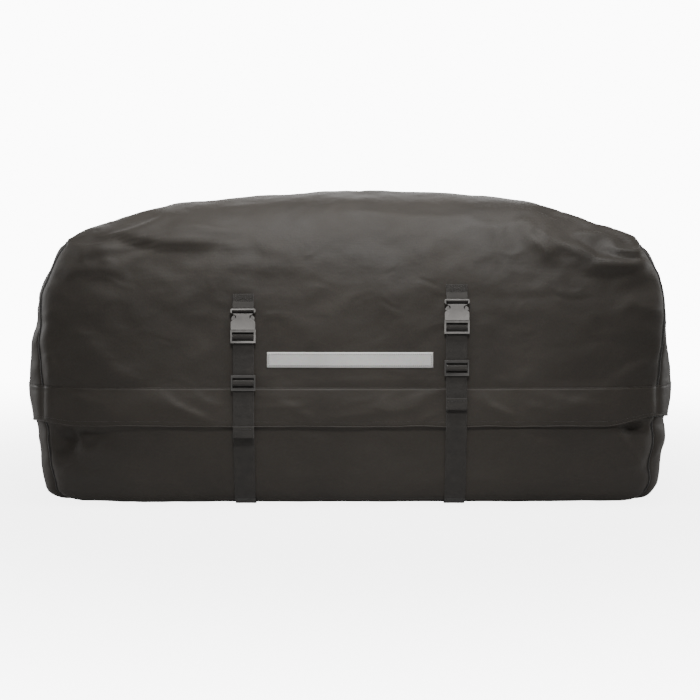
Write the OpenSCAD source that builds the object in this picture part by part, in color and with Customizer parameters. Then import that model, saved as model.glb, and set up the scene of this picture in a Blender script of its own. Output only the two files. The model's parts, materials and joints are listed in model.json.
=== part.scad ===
// Soft cargo bag for a hitch-mounted carrier: a zipped two-part fabric shell with a storm
// flap, two webbing straps with side-release buckles, strap adjusters and a zip slider.
// Millimetres. The front of the bag faces -Y, +Z is up, the origin is under its middle.

/* [Bag] */
// Full width of the fabric shell
bag_w = 1184; // [900:2:1400]
// Full depth of the fabric shell
bag_d = 490; // [350:2:600]
// Height of the shell's crown above the ground
bag_h = 570; // [400:2:650]
// Height of the zip line above the ground
zip_z = 180; // [120:2:240]
// Squareness of the shell seen from above
plan_n = 7; // [4:0.5:12]
// Squareness of the domed lid seen from the side
dome_n = 3.7; // [2.5:0.1:6]
// Fabric wall thickness of the CAD shell
wall = 2.4; // [1.6:0.2:4]

/* [Storm flap] */
// Height of the flap's stitched upper edge
flap_top = 222; // [190:1:260]
// Height of the flap's free lower edge
flap_bottom = 151; // [120:1:180]
// Distance behind the middle where the flap ends on each side
flap_end = 106; // [40:2:120]
// Flap thickness
flap_t = 2; // [1:0.5:3]

/* [Straps] */
// Webbing width
web_w = 38; // [25:1:50]
// Webbing thickness
web_t = 2; // [1.5:0.1:3]
// Distance of each strap from the middle
strap_x = 192; // [120:1:300]
// Lean of the straps and buckles against the vertical, in degrees
lean = 2.5; // [0:0.5:6]
// Height at which the left adjuster starts
adjuster_z = 217; // [200:1:240]
// How much higher the right buckle sits than the left one
right_lift = 17; // [0:1:30]
// How much higher the right adjuster sits than the left one
adjuster_lift = 27; // [0:1:40]
// Length of the left strap's free tail under its adjuster
tail_left = 86; // [40:1:100]
// Length of the right strap's free tail under its adjuster
tail_right = 62; // [40:1:100]

/* [Buckles] */
// Buckle width
buckle_w = 45; // [40:1:54]
// Length of the buckle socket
socket_l = 38; // [30:1:50]
// Length of the plug's webbing frame
plug_l = 24; // [20:1:32]
// Thickness of the buckle socket
socket_t = 12; // [10:0.5:14]
// Adjuster length along the strap
adjuster_l = 28; // [22:1:34]

/* [Zip] */
// Half height of the whole zip, coil and tape
tape_h = 14; // [10:1:18]
// Half height of the closed coil
coil_h = 5; // [3:0.5:6]
// Gap between the two coil halves
coil_gap = 1.6; // [1:0.1:2]
// Where the coil ends behind the middle
zip_end = 188; // [120:2:200]
// Slider length
slider_l = 20; // [14:1:26]
// Length of the pull tab
pull_l = 32; // [20:1:45]

/* [Hidden] */
$fn = 32;
fabric = [0.17, 0.16, 0.15];
side_fabric = [0.14, 0.13, 0.12];
webbing = [0.12, 0.12, 0.11];
trim = [0.08, 0.08, 0.08];
plastic = [0.20, 0.20, 0.20];
metal = [0.45, 0.45, 0.46];
half_w = bag_w / 2;
half_d = bag_d / 2;
lid_h = bag_h - zip_z;
// the straps stand further out in front than the hinge does behind
bag_y = 6.9;
// inset of the tub's side against its height, from the ground to the zip
belly = [[2.2, 70], [3.5, 56], [6, 48], [10, 40], [15, 33], [22, 27], [53, 18], [90, 11],
         [113, 6], [150, 2], [180, 0]];
// how far the long panels run round onto the ends, and half the corded seam's width
seam_at = 0.1;
seam_half = 0.014;
long_edge = 1 + seam_at - seam_half;
end_edge = 1 - seam_at - seam_half;
// the webbing's inner face at the left adjuster's lower end
strap_y = bag_y - half_d - 5;
mid_u = 6;
base_t = 4;
hinge_half = 420;

// ---- helpers -------------------------------------------------------------------------

function plan_len(v) = pow(pow(abs(v[0]), plan_n) + pow(abs(v[1]), plan_n), 1 / plan_n);

// a point on the shell's outline seen from above, grown outwards, at height z
function plan_pt(v, grow, z) =
    let (r = plan_len(v))
    [(half_w + grow) * v[0] / r, bag_y + (half_d + grow) * v[1] / r, z];

// a point on the domed lid
function dome_pt(v, t, grow) =
    let (r = pow(pow(plan_len(v), dome_n) + pow(t, dome_n), 1 / dome_n))
    [(half_w + grow) * v[0] / r, bag_y + (half_d + grow) * v[1] / r,
     zip_z + (lid_h + grow) * t / r];

// level lines low on the lid, running over into the lid's upper edge at tau = 1
function level(v, tau) =
    let (p = plan_len(v)) tau * (p + (1 - p) * tau * tau);

// a point above the zip line on the lid's upright walls, at height z
function wall_pt(v, grow, z) =
    let (q = max(z - zip_z, 0) / lid_h, k = pow(1 - pow(q, dome_n), 1 / dome_n),
         r = plan_len(v))
    [(half_w + grow) * k * v[0] / r, bag_y + (half_d + grow) * k * v[1] / r, z];

// steps from -e to e that crowd towards the ends
function crowd(q) = sign(q) * (1 - pow(1 - abs(q), 1.6));
function span_list(e, n) = [for (i = [0 : n]) e * crowd(2 * i / n - 1)];
function flipped(l) = [for (i = [len(l) - 1 : -1 : 0]) l[i]];

// columns of a long panel: up to 1 across its face, past 1 round onto the end
long_cols = concat([-long_edge, -1.04], span_list(1, 22), [1.04, long_edge]);
function over(c) = max(abs(c) - 1, 0);
function dir_at(c, y) = abs(c) <= 1 ? [c, y] : [sign(c), y * (1 - over(c))];

// a thin closed skin between two grids of points: rows go up, columns go to the right
module skin(outer, inner) {
    r = len(outer);
    c = len(outer[0]);
    n = r * c;
    faces_out = [for (i = [0 : r - 2]) for (j = [0 : c - 2])
        each [[i * c + j, i * c + c + j, i * c + c + j + 1],
              [i * c + j, i * c + c + j + 1, i * c + j + 1]]];
    faces_in = [for (f = faces_out) [n + f[0], n + f[2], n + f[1]]];
    low = [for (j = [0 : c - 2]) each [[j, j + 1, n + j + 1], [j, n + j + 1, n + j]]];
    top = [for (j = [0 : c - 2]) let (k = (r - 1) * c + j)
        each [[k + 1, k, n + k], [k + 1, n + k, n + k + 1]]];
    near = [for (i = [0 : r - 2]) let (k = i * c)
        each [[k + c, k, n + k], [k + c, n + k, n + k + c]]];
    far = [for (i = [0 : r - 2]) let (k = i * c + c - 1)
        each [[k, k + c, n + k + c], [k, n + k + c, n + k]]];
    polyhedron(
        points = concat([for (row = outer) each row], [for (row = inner) each row]),
        faces = concat(faces_out, faces_in, low, top, near, far),
        convexity = 8);
}

// an upright band that follows the outline: grow_out and grow_in are looked up by height
module band(path, heights, grow_out, grow_in) {
    skin([for (z = heights) [for (v = path) wall_pt(v, lookup(z, grow_out), z)]],
         [for (z = heights) [for (v = path) wall_pt(v, lookup(z, grow_in), z)]]);
}

// outline directions of the four sides and of the U that the zip follows
front_path = [for (c = long_cols) dir_at(c, -1)];
end_cols = concat([-end_edge], span_list(0.97 * end_edge, 14), [end_edge]);
right_path = [for (w = end_cols) [1, w]];
back_path = [for (c = long_cols) dir_at(-c, 1)];
left_path = [for (w = end_cols) [-1, -w]];
// five steps across a corded seam, from the end panel to the long one
seam_steps = [for (q = [-1, -0.5, 0, 0.5, 1]) 1 - seam_at + q * seam_half];

function u_path(w_end) =
    let (half = concat([[1, w_end]],
                       [for (w = flipped(end_cols)) if (w < w_end - 0.02) [1, w]],
                       [for (i = [1 : 3]) [1, -seam_steps[4 - i]]]))
    concat([for (v = half) [-v[0], v[1]]], front_path, flipped(half));

// outline direction that puts a side point a given distance behind the middle
function side_dir(y) =
    let (q = y / half_d) q / pow(1 - pow(abs(q), plan_n), 1 / plan_n);

// the tub's side as [inset, height] and its inner face, set in square to the outer one
tub_rows = [2.2, 3.5, 6, 10, 15, 22, 36, 53, 72, 90, 113, 140, zip_z - tape_h];
function slope(z) = (lookup(z + 0.5, belly) - lookup(z - 0.5, belly));
function tub_out(v, z) = plan_pt(v, -lookup(z, belly), z);
function tub_in(v, z, extra) =
    let (s = z < 3 ? -9 : slope(z), f = wall / sqrt(1 + s * s))
    plan_pt(v, -lookup(z, belly) - f + extra, z - f * s);

module tub_side(path, rows) {
    skin([for (z = rows) [for (v = path) tub_out(v, z)]],
         [for (z = rows) [for (v = path) tub_in(v, z, 0)]]);
}

// webbing: a flat band whose edge runs along points given as [y, z]
function step_dir(p, i) = let (d = p[i + 1] - p[i]) d / norm(d);
function side_of(p, i) =
    let (last = len(p) - 1,
         a = step_dir(p, max(i - 1, 0)), b = step_dir(p, min(i, last - 1)),
         m = (a + b) / norm(a + b))
    [-m[1], m[0]] / (m * b);
function strip(p, t) = concat(
    [for (i = [0 : len(p) - 1]) p[i] + side_of(p, i) * t / 2],
    [for (i = [len(p) - 1 : -1 : 0]) p[i] - side_of(p, i) * t / 2]);

module web(p, t = web_t, w = web_w) {
    translate([-w / 2, 0, 0]) rotate([90, 0, 90]) linear_extrude(w) polygon(strip(p, t));
}

// a block with its own centre lines, [x, y, z] sizes, standing on z = 0
module block(size) {
    translate([-size[0] / 2, -size[1] / 2, 0]) cube(size);
}

// places a strap fitting: side is -1 or 1, along is the way up the strap
module on_strap(side, along) {
    translate([side * strap_x, strap_y, adjuster_z])
        rotate([-lean, 0, 0])
            translate([0, 0, along])
                children();
}

// a point of the strap plane in the part's own frame, u outwards and v up the strap
function strap_pt(u, v) =
    [strap_y - u * cos(lean) + v * sin(lean), adjuster_z + u * sin(lean) + v * cos(lean)];

function lift(side) = side > 0 ? right_lift : 0;
function mouth(side) = 110 + lift(side);
function glide(side) = side > 0 ? adjuster_lift : 0;
function tail(side) = side > 0 ? tail_right : tail_left;
function shell_y(z) = wall_pt([strap_x / half_w, -1], 0, z)[1];

// ---- tub -------------------------------------------------------------------------------

module base_panel() {
    color(trim)
        translate([0, 0, 2.2])
            linear_extrude(base_t)
                polygon([for (v = concat(front_path, right_path, back_path, left_path))
                    let (p = plan_pt(v, -71.4, 0)) [p[0], p[1]]]);
}

module tub_front() {
    color(fabric) tub_side(front_path, tub_rows);
}

module tub_back() {
    color(fabric) tub_side(back_path, concat(tub_rows, [zip_z - 0.3]));
}

module tub_left() {
    color(side_fabric) tub_side(left_path, tub_rows);
}

module tub_right() {
    color(side_fabric) tub_side(right_path, tub_rows);
}

// the corded seam at one corner of the tub, flat where the flap hangs over it
module tub_piping(sx, sy, rows) {
    cord = [0, 2.2, 3, 2.2, 0];
    side = [for (w = seam_steps) [sx, sy * w]];
    pts = sx * sy > 0 ? side : flipped(side);
    skin([for (z = rows) [for (j = [0 : 4])
             plan_pt(pts[j], (z > 150 ? 0.3 : 1) * cord[j] - lookup(z, belly), z)]],
         [for (z = rows) [for (j = [0 : 4]) tub_in(pts[j], z, 0)]]);
}

module tub_piping_front() {
    color(trim)
        for (sx = [-1, 1])
            tub_piping(sx, -1, tub_rows);
}

module tub_piping_back() {
    color(trim)
        for (sx = [-1, 1])
            tub_piping(sx, 1, concat(tub_rows, [zip_z - 0.3]));
}

module zip_tape_lower() {
    color(trim)
        band(u_path(end_edge), [zip_z - tape_h + 0.3, zip_z - coil_h],
             [[0, -0.4], [zip_z, -0.4]], [[0, -1.8], [zip_z, -1.8]]);
}

module zip_coil_lower() {
    color(plastic)
        band(u_path(side_dir(zip_end)), [zip_z - coil_h, zip_z - coil_gap / 2],
             [[0, 0.3], [zip_z, 0.3]], [[0, -2.7], [zip_z, -2.7]]);
}

// short covers that close the zip's line from the coil's ends to the rear corners
module zip_end(sx, z0, z1) {
    w0 = side_dir(zip_end + 0.3);
    path = [for (i = [0 : 5]) [sx, w0 + (end_edge - w0) * i / 5]];
    band(sx > 0 ? path : flipped(path), [z0, z1], [[0, 0], [400, 0]],
         [[0, -wall], [400, -wall]]);
}

module zip_ends_lower() {
    color(side_fabric)
        for (sx = [-1, 1])
            zip_end(sx, zip_z - coil_h, zip_z - 0.3);
}

// the two straps of binding tape that meet at the fabric hinge behind
module hinge_tape(z0, z1) {
    e = hinge_half / half_w;
    band([for (i = [0 : 16]) [e - 2 * e * i / 16, 1]], [z0, z1],
         [[0, 1.7], [400, 1.7]], [[0, 0.2], [400, 0.2]]);
}

module hinge_tape_lower() {
    color(webbing) hinge_tape(zip_z - 20, zip_z - 0.8);
}

module strap_under(side) {
    color(webbing)
        translate([side * strap_x, bag_y, 0])
            web([[62.3 - half_d, web_t / 2], [half_d - 62.3, web_t / 2]]);
}

module strap_under_left() {
    strap_under(-1);
}

module strap_under_right() {
    strap_under(1);
}

// the strap turns up round the tub's front lower edge
module strap_toe(side) {
    color(webbing)
        translate([side * strap_x, bag_y - half_d, 0])
            web([[62, 1], [51, 2.8], [41.5, 7.1], [32.7, 12.6]]);
}

module strap_toe_left() {
    strap_toe(-1);
}

module strap_toe_right() {
    strap_toe(1);
}

// the strap's end runs up the back to its sewn anchor
module strap_back(side) {
    color(webbing)
        translate([side * strap_x, bag_y + half_d, 0])
            web([[-62, 1], [-51, 2.8], [-41.5, 7.1], [-32.4, 12.8], [-24.6, 23], [-16.2, 53],
                 [-9.2, 90], [-4.2, 113], [0, 146]]);
}

module strap_back_left() {
    strap_back(-1);
}

module strap_back_right() {
    strap_back(1);
}

// the second, stitched layer over the strap's end
module strap_anchor(side) {
    color(webbing)
        translate([side * strap_x, bag_y + half_d + 2.1, 0])
            web([[-4.2, 113], [0, 146]], 2, web_w - 2);
}

module strap_anchor_left() {
    strap_anchor(-1);
}

module strap_anchor_right() {
    strap_anchor(1);
}

// the loaded run of the strap, from the lower edge up to the plug
module strap_front(side) {
    up = mouth(side) - plug_l;
    color(webbing)
        translate([side * strap_x, 0, 0])
            web(concat(
                [for (p = [[32.1, 13.2], [25, 22.4], [16.2, 53], [-5.8, 150]])
                    [bag_y - half_d + p[0], p[1]]],
                [strap_pt(1, 0), strap_pt(1, up)]));
}

module strap_front_left() {
    strap_front(-1);
}

module strap_front_right() {
    strap_front(1);
}

// ---- lid -------------------------------------------------------------------------------

tau_low = tape_h / lid_h;
taus = [tau_low, 0.09, 0.115, 0.17, 0.27, 0.38, 0.5, 0.62, 0.74, 0.84, 0.93, 1];
taus_back = concat([0.0008], taus);

// rows of the wrapped panel: [front or back, height step] or [way over the top, "top"]
wrap_rows = concat(
    [for (t = taus) [-1, t]],
    [for (w = span_list(0.97, 14)) [w, "top"]],
    [for (t = flipped(taus_back)) [1, t]]);

// a lid point from its column, which may run on past the long panel's edge, and its row
function lid_pt(c, row, grow) =
    let (v = dir_at(c, row[0]), e = over(c))
    row[1] == "top" ? dome_pt(v, 1 - e, grow)
                    : dome_pt(v, level(v, row[1]) * (1 - e * row[1] * row[1]), grow);

module lid_wrap() {
    color(fabric)
        skin([for (row = wrap_rows) [for (c = long_cols) lid_pt(c, row, 0)]],
             [for (row = wrap_rows) [for (c = long_cols) lid_pt(c, row, -wall)]]);
}

// the end's rows stop short of its edge, where the corded seam takes over
function end_pt(sx, w, tau, grow) =
    let (v = [sx, w * end_edge], e = 1 - end_edge)
    dome_pt(v, level(v, tau) * (1 - e * tau * tau), grow);

module lid_end(sx) {
    ws = [for (w = end_cols) w / end_edge];
    dirs = sx > 0 ? ws : flipped(ws);
    color(side_fabric)
        skin([for (t = taus) [for (w = dirs) end_pt(sx, w, t, 0)]],
             [for (t = taus) [for (w = dirs) end_pt(sx, w, t, -wall)]]);
}

module lid_end_left() {
    lid_end(-1);
}

module lid_end_right() {
    lid_end(1);
}

// the corded seam that runs up the front, over the top and down the back
module lid_piping(sx) {
    cord = [0, 2.2, 3, 2.2, 0];
    order = sx > 0 ? [4, 3, 2, 1, 0] : [0, 1, 2, 3, 4];
    cols = [for (j = order) sx * (2 - seam_steps[j])];
    color(trim)
        skin([for (row = wrap_rows) [for (j = [0 : 4])
                 lid_pt(cols[j], row, cord[j] * (row[1] != "top" && row[1] < 0.12 ? 0 : 1))]],
             [for (row = wrap_rows) [for (j = [0 : 4]) lid_pt(cols[j], row, -wall)]]);
}

module lid_piping_left() {
    lid_piping(-1);
}

module lid_piping_right() {
    lid_piping(1);
}

module zip_tape_upper() {
    color(trim)
        band(u_path(end_edge), [zip_z + coil_h, zip_z + tape_h - 0.2],
             [[0, -0.4], [400, -0.4]], [[0, -1.8], [400, -1.8]]);
}

module zip_coil_upper() {
    color(plastic)
        band(u_path(side_dir(zip_end)), [zip_z + coil_gap / 2, zip_z + coil_h],
             [[0, 0.3], [400, 0.3]], [[0, -2.7], [400, -2.7]]);
}

module zip_ends_upper() {
    color(side_fabric)
        for (sx = [-1, 1])
            zip_end(sx, zip_z + 0.3, zip_z + coil_h);
}

module hinge_tape_upper() {
    color(webbing) hinge_tape(zip_z + 0.8, zip_z + 20);
}

module storm_flap() {
    drop = [[flap_bottom, 2.6], [170, 2.4], [190, 1.7], [206, 1], [flap_top, 0.4]];
    color(fabric)
        band(u_path(side_dir(flap_end)),
             [flap_bottom, 160, 170, 180, 190, 200, 211, flap_top],
             [for (d = drop) [d[0], d[1] + flap_t]], drop);
}

// the webbing stub that holds a socket: looped round its bar, both ends sewn to the lid
module stub(side) {
    b = strap_pt(mid_u, mouth(side) + socket_l - 2.9);
    r = 3.6;
    z0 = b[1] + 15;
    z1 = b[1] + 29;
    color(webbing)
        translate([side * strap_x, 0, 0])
            web(concat(
                [[shell_y(z1) - 1.5, z1], [shell_y(z0) - 1.6, z0]],
                [for (a = [0 : -30 : -180]) [b[0] + r * cos(a), b[1] + r * sin(a)]],
                [[b[0] - r + 0.2, b[1] + 4.2], [shell_y(z0) - 5.4, z0],
                 [shell_y(z1) - 4.4, z1]]));
}

module stub_left() {
    stub(-1);
}

module stub_right() {
    stub(1);
}

// the buckle's socket: a waisted hollow body with open sides and a webbing slot
module socket(side) {
    h = buckle_w / 2;
    edge = [[21.8, 0], [22, 10], [21.6, 14.2], [19.6, 16.4], [15, 18.6], [12.3, 20.8],
            [11.7, 23], [12.8, 25.4], [17.4, 28], [21.4, 30], [h, 32.2], [h, socket_l - 2.6],
            [h - 0.9, socket_l - 0.9], [h - 2.6, socket_l]];
    color(plastic)
        on_strap(side, mouth(side))
            translate([0, -mid_u, 0])
                difference() {
                    translate([0, socket_t / 2, 0])
                        rotate([90, 0, 0])
                            linear_extrude(socket_t)
                                polygon(concat(edge, [for (p = flipped(edge)) [-p[0], p[1]]]));
                    translate([0, 0, -1])
                        block([37.6, 8.4, 28.2]);
                    // webbing slot, open behind; a thin lip crosses in front near the top
                    translate([0, 0, socket_l - 8.9])
                        block([web_w + 0.8, socket_t + 2, 4.1]);
                    translate([0, 5.8, socket_l - 6])
                        block([web_w + 0.8, 8.4, 8]);
                    translate([0, -3.3, socket_l - 6])
                        block([web_w + 0.8, 3.4, 8]);
                    translate([0, -6.2, socket_l - 6])
                        block([web_w + 0.8, 8, 3.2]);
                    translate([0, 0, socket_l - 1])
                        block([web_w + 0.8, 4, 2]);
                }
}

module socket_left() {
    socket(-1);
}

module socket_right() {
    socket(1);
}

// ---- buckle plug, its webbing and the adjuster -------------------------------------------

module plug(side) {
    rail = (buckle_w - web_w) / 2 - 0.4;
    color(plastic)
        on_strap(side, mouth(side))
            translate([0, -mid_u, 0]) {
                for (e = [-1, 1])
                    translate([e * (buckle_w / 2 - rail / 2), 0, -plug_l])
                        block([rail, 8, plug_l - 0.2]);
                translate([0, 0, -4.6])
                    block([web_w + 1, 8, 4.4]);
                translate([0, -1.6, -plug_l])
                    block([web_w + 1, 4.8, 3.4]);
                translate([-web_w / 2 - 0.5, 0, -12])
                    rotate([0, 90, 0])
                        cylinder(r = 2.2, h = web_w + 1);
                translate([0, 0, -0.3])
                    block([4, 4, 22]);
            }
}

module plug_left() {
    plug(-1);
}

module plug_right() {
    plug(1);
}

// the two springy arms with their hooks
module prongs(side) {
    arm = [[12.8, -0.2], [16.6, -0.2], [16.8, 16.8], [20.3, 17.6], [20.9, 19.2], [20.3, 22],
           [18.2, 25], [16, 26.2], [14.2, 25.2], [13, 20]];
    color(plastic)
        on_strap(side, mouth(side))
            translate([0, -mid_u, 0])
                for (e = [-1, 1])
                    translate([0, 3.6, 0])
                        rotate([90, 0, 0])
                            linear_extrude(7.2)
                                polygon([for (p = arm) [e * p[0], p[1]]]);
}

module prongs_left() {
    prongs(-1);
}

module prongs_right() {
    prongs(1);
}

// webbing up behind the plug, over its bar, back behind its lower rail and on to the free end
module strap_loop(side) {
    m = mouth(side);
    g = glide(side);
    bar = m - 12;
    color(webbing)
        on_strap(side, 0)
            web(concat(
                [[-1, m - plug_l + 0.2], [-1, m - 18], [-2.6, bar - 1.4]],
                [for (a = [170 : -20 : -50])
                    [-mid_u - 3.4 * cos(a), bar + 3.4 * sin(a)]],
                [[-3.1, m - 19], [-3.1, g - tail(side)]]));
}

module strap_loop_left() {
    strap_loop(-1);
}

module strap_loop_right() {
    strap_loop(1);
}

// the folded and stitched end of the free tail
module strap_hem(side) {
    g = glide(side) - tail(side);
    color(webbing)
        on_strap(side, 0)
            web([[-5.2, g], [-5.2, g + 22]]);
}

module strap_hem_left() {
    strap_hem(-1);
}

module strap_hem_right() {
    strap_hem(1);
}

module adjuster(side) {
    rail = 2.7;
    color(plastic)
        on_strap(side, glide(side))
            translate([0, -6.1, 0]) {
                for (e = [-1, 1])
                    translate([e * (22 - rail / 2), 0, 0])
                        block([rail, 3.5, adjuster_l]);
                for (z = [0, adjuster_l - 5])
                    translate([0, 0, z])
                        block([44 - 2 * rail + 0.6, 3.5, 5]);
                translate([0, 0, adjuster_l / 2 - 2.6])
                    block([44 - 2 * rail + 0.6, 3.1, 5.2]);
            }
}

module adjuster_left() {
    adjuster(-1);
}

module adjuster_right() {
    adjuster(1);
}

// the webbing that shows where it passes over the adjuster's middle bar
module adjuster_web(side) {
    c = adjuster_l / 2;
    color(webbing)
        on_strap(side, glide(side))
            web([[-4.4, c - 4.2], [-7.6, c - 4.2], [-9, c - 2.8], [-9, c + 2.8],
                 [-7.6, c + 4.2], [-4.4, c + 4.2]]);
}

module adjuster_web_left() {
    adjuster_web(-1);
}

module adjuster_web_right() {
    adjuster_web(1);
}

// ---- zip slider ---------------------------------------------------------------------------

slider_y = 170;
slider_turn = 8.5;
function slider_x() = -half_w * pow(1 - pow(slider_y / half_d, plan_n), 1 / plan_n);

// local X runs back along the zip, local Y points out of the bag
module at_slider() {
    translate([slider_x(), bag_y + slider_y, zip_z])
        rotate([0, 0, 90 - slider_turn])
            children();
}

module zip_slider() {
    color(metal)
        at_slider() {
            for (y = [2.4, -6.9])
                translate([-slider_l / 2, y, -6])
                    cube([slider_l, 1.2, 12]);
            translate([5, -5.8, -0.5])
                cube([4, 8.3, 1]);
            for (z = [-4.4, 3.2])
                translate([-2, 3.5, z])
                    cube([4, 4.4, 1.2]);
            translate([0, 5.9, -3.3])
                cylinder(r = 1, h = 6.6);
        }
}

module zip_pull() {
    color(metal)
        at_slider()
            translate([0, 5.9, 0])
                difference() {
                    union() {
                        translate([0, 0, -2.8])
                            cylinder(r = 2.1, h = 5.6);
                        translate([1, -0.7, -2.8])
                            cube([4.5, 1.4, 5.6]);
                        translate([5, -0.7, -5])
                            cube([pull_l - 5, 1.4, 10]);
                    }
                    translate([0, 0, -4])
                        cylinder(r = 1.1, h = 8);
                    translate([pull_l - 6, 2, 0])
                        rotate([90, 0, 0])
                            cylinder(r = 2.4, h = 4);
                }
}

// ---- parts ----------------------------------------------------------------------------------

base_panel();
tub_front();
tub_back();
tub_left();
tub_right();
tub_piping_front();
tub_piping_back();
zip_tape_lower();
zip_coil_lower();
zip_ends_lower();
hinge_tape_lower();
strap_under_left();
strap_under_right();
strap_toe_left();
strap_toe_right();
strap_back_left();
strap_back_right();
strap_anchor_left();
strap_anchor_right();
strap_front_left();
strap_front_right();
lid_wrap();
lid_end_left();
lid_end_right();
lid_piping_left();
lid_piping_right();
zip_tape_upper();
zip_coil_upper();
zip_ends_upper();
hinge_tape_upper();
storm_flap();
stub_left();
stub_right();
socket_left();
socket_right();
plug_left();
plug_right();
prongs_left();
prongs_right();
strap_loop_left();
strap_loop_right();
strap_hem_left();
strap_hem_right();
adjuster_left();
adjuster_right();
adjuster_web_left();
adjuster_web_right();
zip_slider();
zip_pull();
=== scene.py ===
import json
import math

import bmesh
import bpy
import numpy as np
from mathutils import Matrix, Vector, noise


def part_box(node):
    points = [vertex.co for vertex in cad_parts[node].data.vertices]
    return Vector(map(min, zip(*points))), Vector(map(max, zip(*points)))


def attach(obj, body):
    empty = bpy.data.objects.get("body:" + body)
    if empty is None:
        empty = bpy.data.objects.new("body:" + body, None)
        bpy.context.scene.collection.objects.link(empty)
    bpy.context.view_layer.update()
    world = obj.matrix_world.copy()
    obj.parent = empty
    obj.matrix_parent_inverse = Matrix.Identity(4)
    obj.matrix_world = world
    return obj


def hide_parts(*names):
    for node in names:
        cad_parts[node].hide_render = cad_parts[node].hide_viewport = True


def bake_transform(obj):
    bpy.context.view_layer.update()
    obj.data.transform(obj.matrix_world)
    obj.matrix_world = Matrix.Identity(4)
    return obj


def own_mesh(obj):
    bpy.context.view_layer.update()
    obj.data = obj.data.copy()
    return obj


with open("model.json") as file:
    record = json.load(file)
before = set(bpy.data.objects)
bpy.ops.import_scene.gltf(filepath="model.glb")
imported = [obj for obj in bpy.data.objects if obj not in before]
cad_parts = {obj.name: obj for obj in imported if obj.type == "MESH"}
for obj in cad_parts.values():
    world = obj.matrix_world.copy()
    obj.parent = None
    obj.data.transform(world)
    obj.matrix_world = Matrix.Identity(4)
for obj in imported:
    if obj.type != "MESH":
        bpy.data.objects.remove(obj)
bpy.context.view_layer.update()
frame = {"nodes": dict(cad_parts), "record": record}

RECORD = frame["record"]
JOINTS = {j["name"]: j for j in RECORD["behaviour"]["joints"]}

# ---- sizes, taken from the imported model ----

_lo, _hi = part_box("lid_wrap")
HALF_D = (_hi[1] - _lo[1]) / 2
BAG_Y = (_hi[1] + _lo[1]) / 2
CROWN = _hi[2]
HALF_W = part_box("lid_end_right")[1][0]
ZIP_Z = JOINTS["lid_hinge"]["pos_m"][2]
LID_H = CROWN - ZIP_Z
FLAP_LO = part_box("storm_flap")[0][2]
FLAP_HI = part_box("storm_flap")[1][2]
STRAP_X = (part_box("strap_under_right")[0][0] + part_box("strap_under_right")[1][0]) / 2
WEB_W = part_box("strap_under_right")[1][0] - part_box("strap_under_right")[0][0]
WEB_T = 0.0021
UP = Vector(JOINTS["adjuster_left_slide"]["axis"]).normalized()
OUT = Vector((0, -UP.z, UP.y))
PLAN_N, DOME_N = 7.0, 3.7
SEAM_AT = 0.1
LONG_EDGE, END_EDGE = 1 + SEAM_AT - 0.003, 1 - SEAM_AT - 0.003
TAPE_H, COIL_H, ZIP_END = 0.014, 0.005, 0.188
BELLY_Z = np.array([2.2, 3.5, 6, 10, 15, 22, 53, 90, 113, 150, 180]) / 1000
BELLY_D = np.array([70, 56, 48, 40, 33, 27, 18, 11, 6, 2, 0]) / 1000


def plan_len(x, y):
    return (np.abs(x) ** PLAN_N + np.abs(y) ** PLAN_N) ** (1 / PLAN_N)


def plan_pt(x, y, grow, z):
    r = plan_len(x, y)
    return np.stack([(HALF_W + grow) * x / r, BAG_Y + (HALF_D + grow) * y / r,
                     np.broadcast_to(z, np.shape(x)) + 0 * x], -1)


def dome_pt(x, y, t, grow=0.0):
    r = (plan_len(x, y) ** DOME_N + t ** DOME_N) ** (1 / DOME_N)
    return np.stack([(HALF_W + grow) * x / r, BAG_Y + (HALF_D + grow) * y / r,
                     ZIP_Z + (LID_H + grow) * t / r], -1)


def level(x, y, tau):
    p = plan_len(x, y)
    return tau * (p + (1 - p) * tau * tau)


def wall_pt(x, y, grow, z):
    q = np.clip(z - ZIP_Z, 0, None) / LID_H
    k = (1 - q ** DOME_N) ** (1 / DOME_N)
    r = plan_len(x, y)
    gx = (HALF_W + grow) * k
    gy = (HALF_D + grow) * k
    return np.stack([gx * x / r, BAG_Y + gy * y / r, z + 0 * x], -1)


def long_dir(c, y):
    """Plan direction of a long panel's column, which may run on round the corner."""
    e = np.clip(np.abs(c) - 1, 0, None)
    return np.where(np.abs(c) <= 1, c, np.sign(c)), y * (1 - e), e


def lid_pt(c, r, grow=0.0):
    """The wrapped panel: r runs 0..1 up the front, 1..3 over the top, 3..4 down the back."""
    c, r = np.broadcast_arrays(np.asarray(c, float), np.asarray(r, float))
    tau_f = TAPE_H / LID_H + (1 - TAPE_H / LID_H) * np.clip(r, 0, 1)
    tau_b = 0.0008 + (1 - 0.0008) * np.clip(4 - r, 0, 1)
    tau = np.where(r <= 1, tau_f, tau_b)
    side = np.where(r <= 1, -1.0, 1.0)
    top = (r > 1) & (r < 3)
    y0 = np.where(top, np.clip(r - 2, -1, 1), side)
    x, y, e = long_dir(c, y0)
    t = np.where(top, 1 - e, level(x, y, tau) * (1 - e * tau * tau))
    return dome_pt(x, y, t, grow)


def end_pt(sx, w, tau, grow=0.0):
    w, tau = np.broadcast_arrays(np.asarray(w, float), np.asarray(tau, float))
    e = 1 - END_EDGE
    x = np.full(w.shape, float(sx))
    y = w * END_EDGE
    return dome_pt(x, y, level(x, y, tau) * (1 - e * tau * tau), grow)


def tub_pt(x, y, z, grow=0.0):
    z = np.asarray(z, float) + 0 * np.asarray(x, float)
    d = np.interp(z, BELLY_Z, BELLY_D)
    r = plan_len(x, y)
    return np.stack([(HALF_W + grow - d) * x / r, BAG_Y + (HALF_D + grow - d) * y / r, z], -1)


def length_along(pts):
    """How far each point of a line is from its start."""
    return np.concatenate([[0], np.cumsum(np.linalg.norm(np.diff(pts, axis=0), axis=1))])


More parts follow.
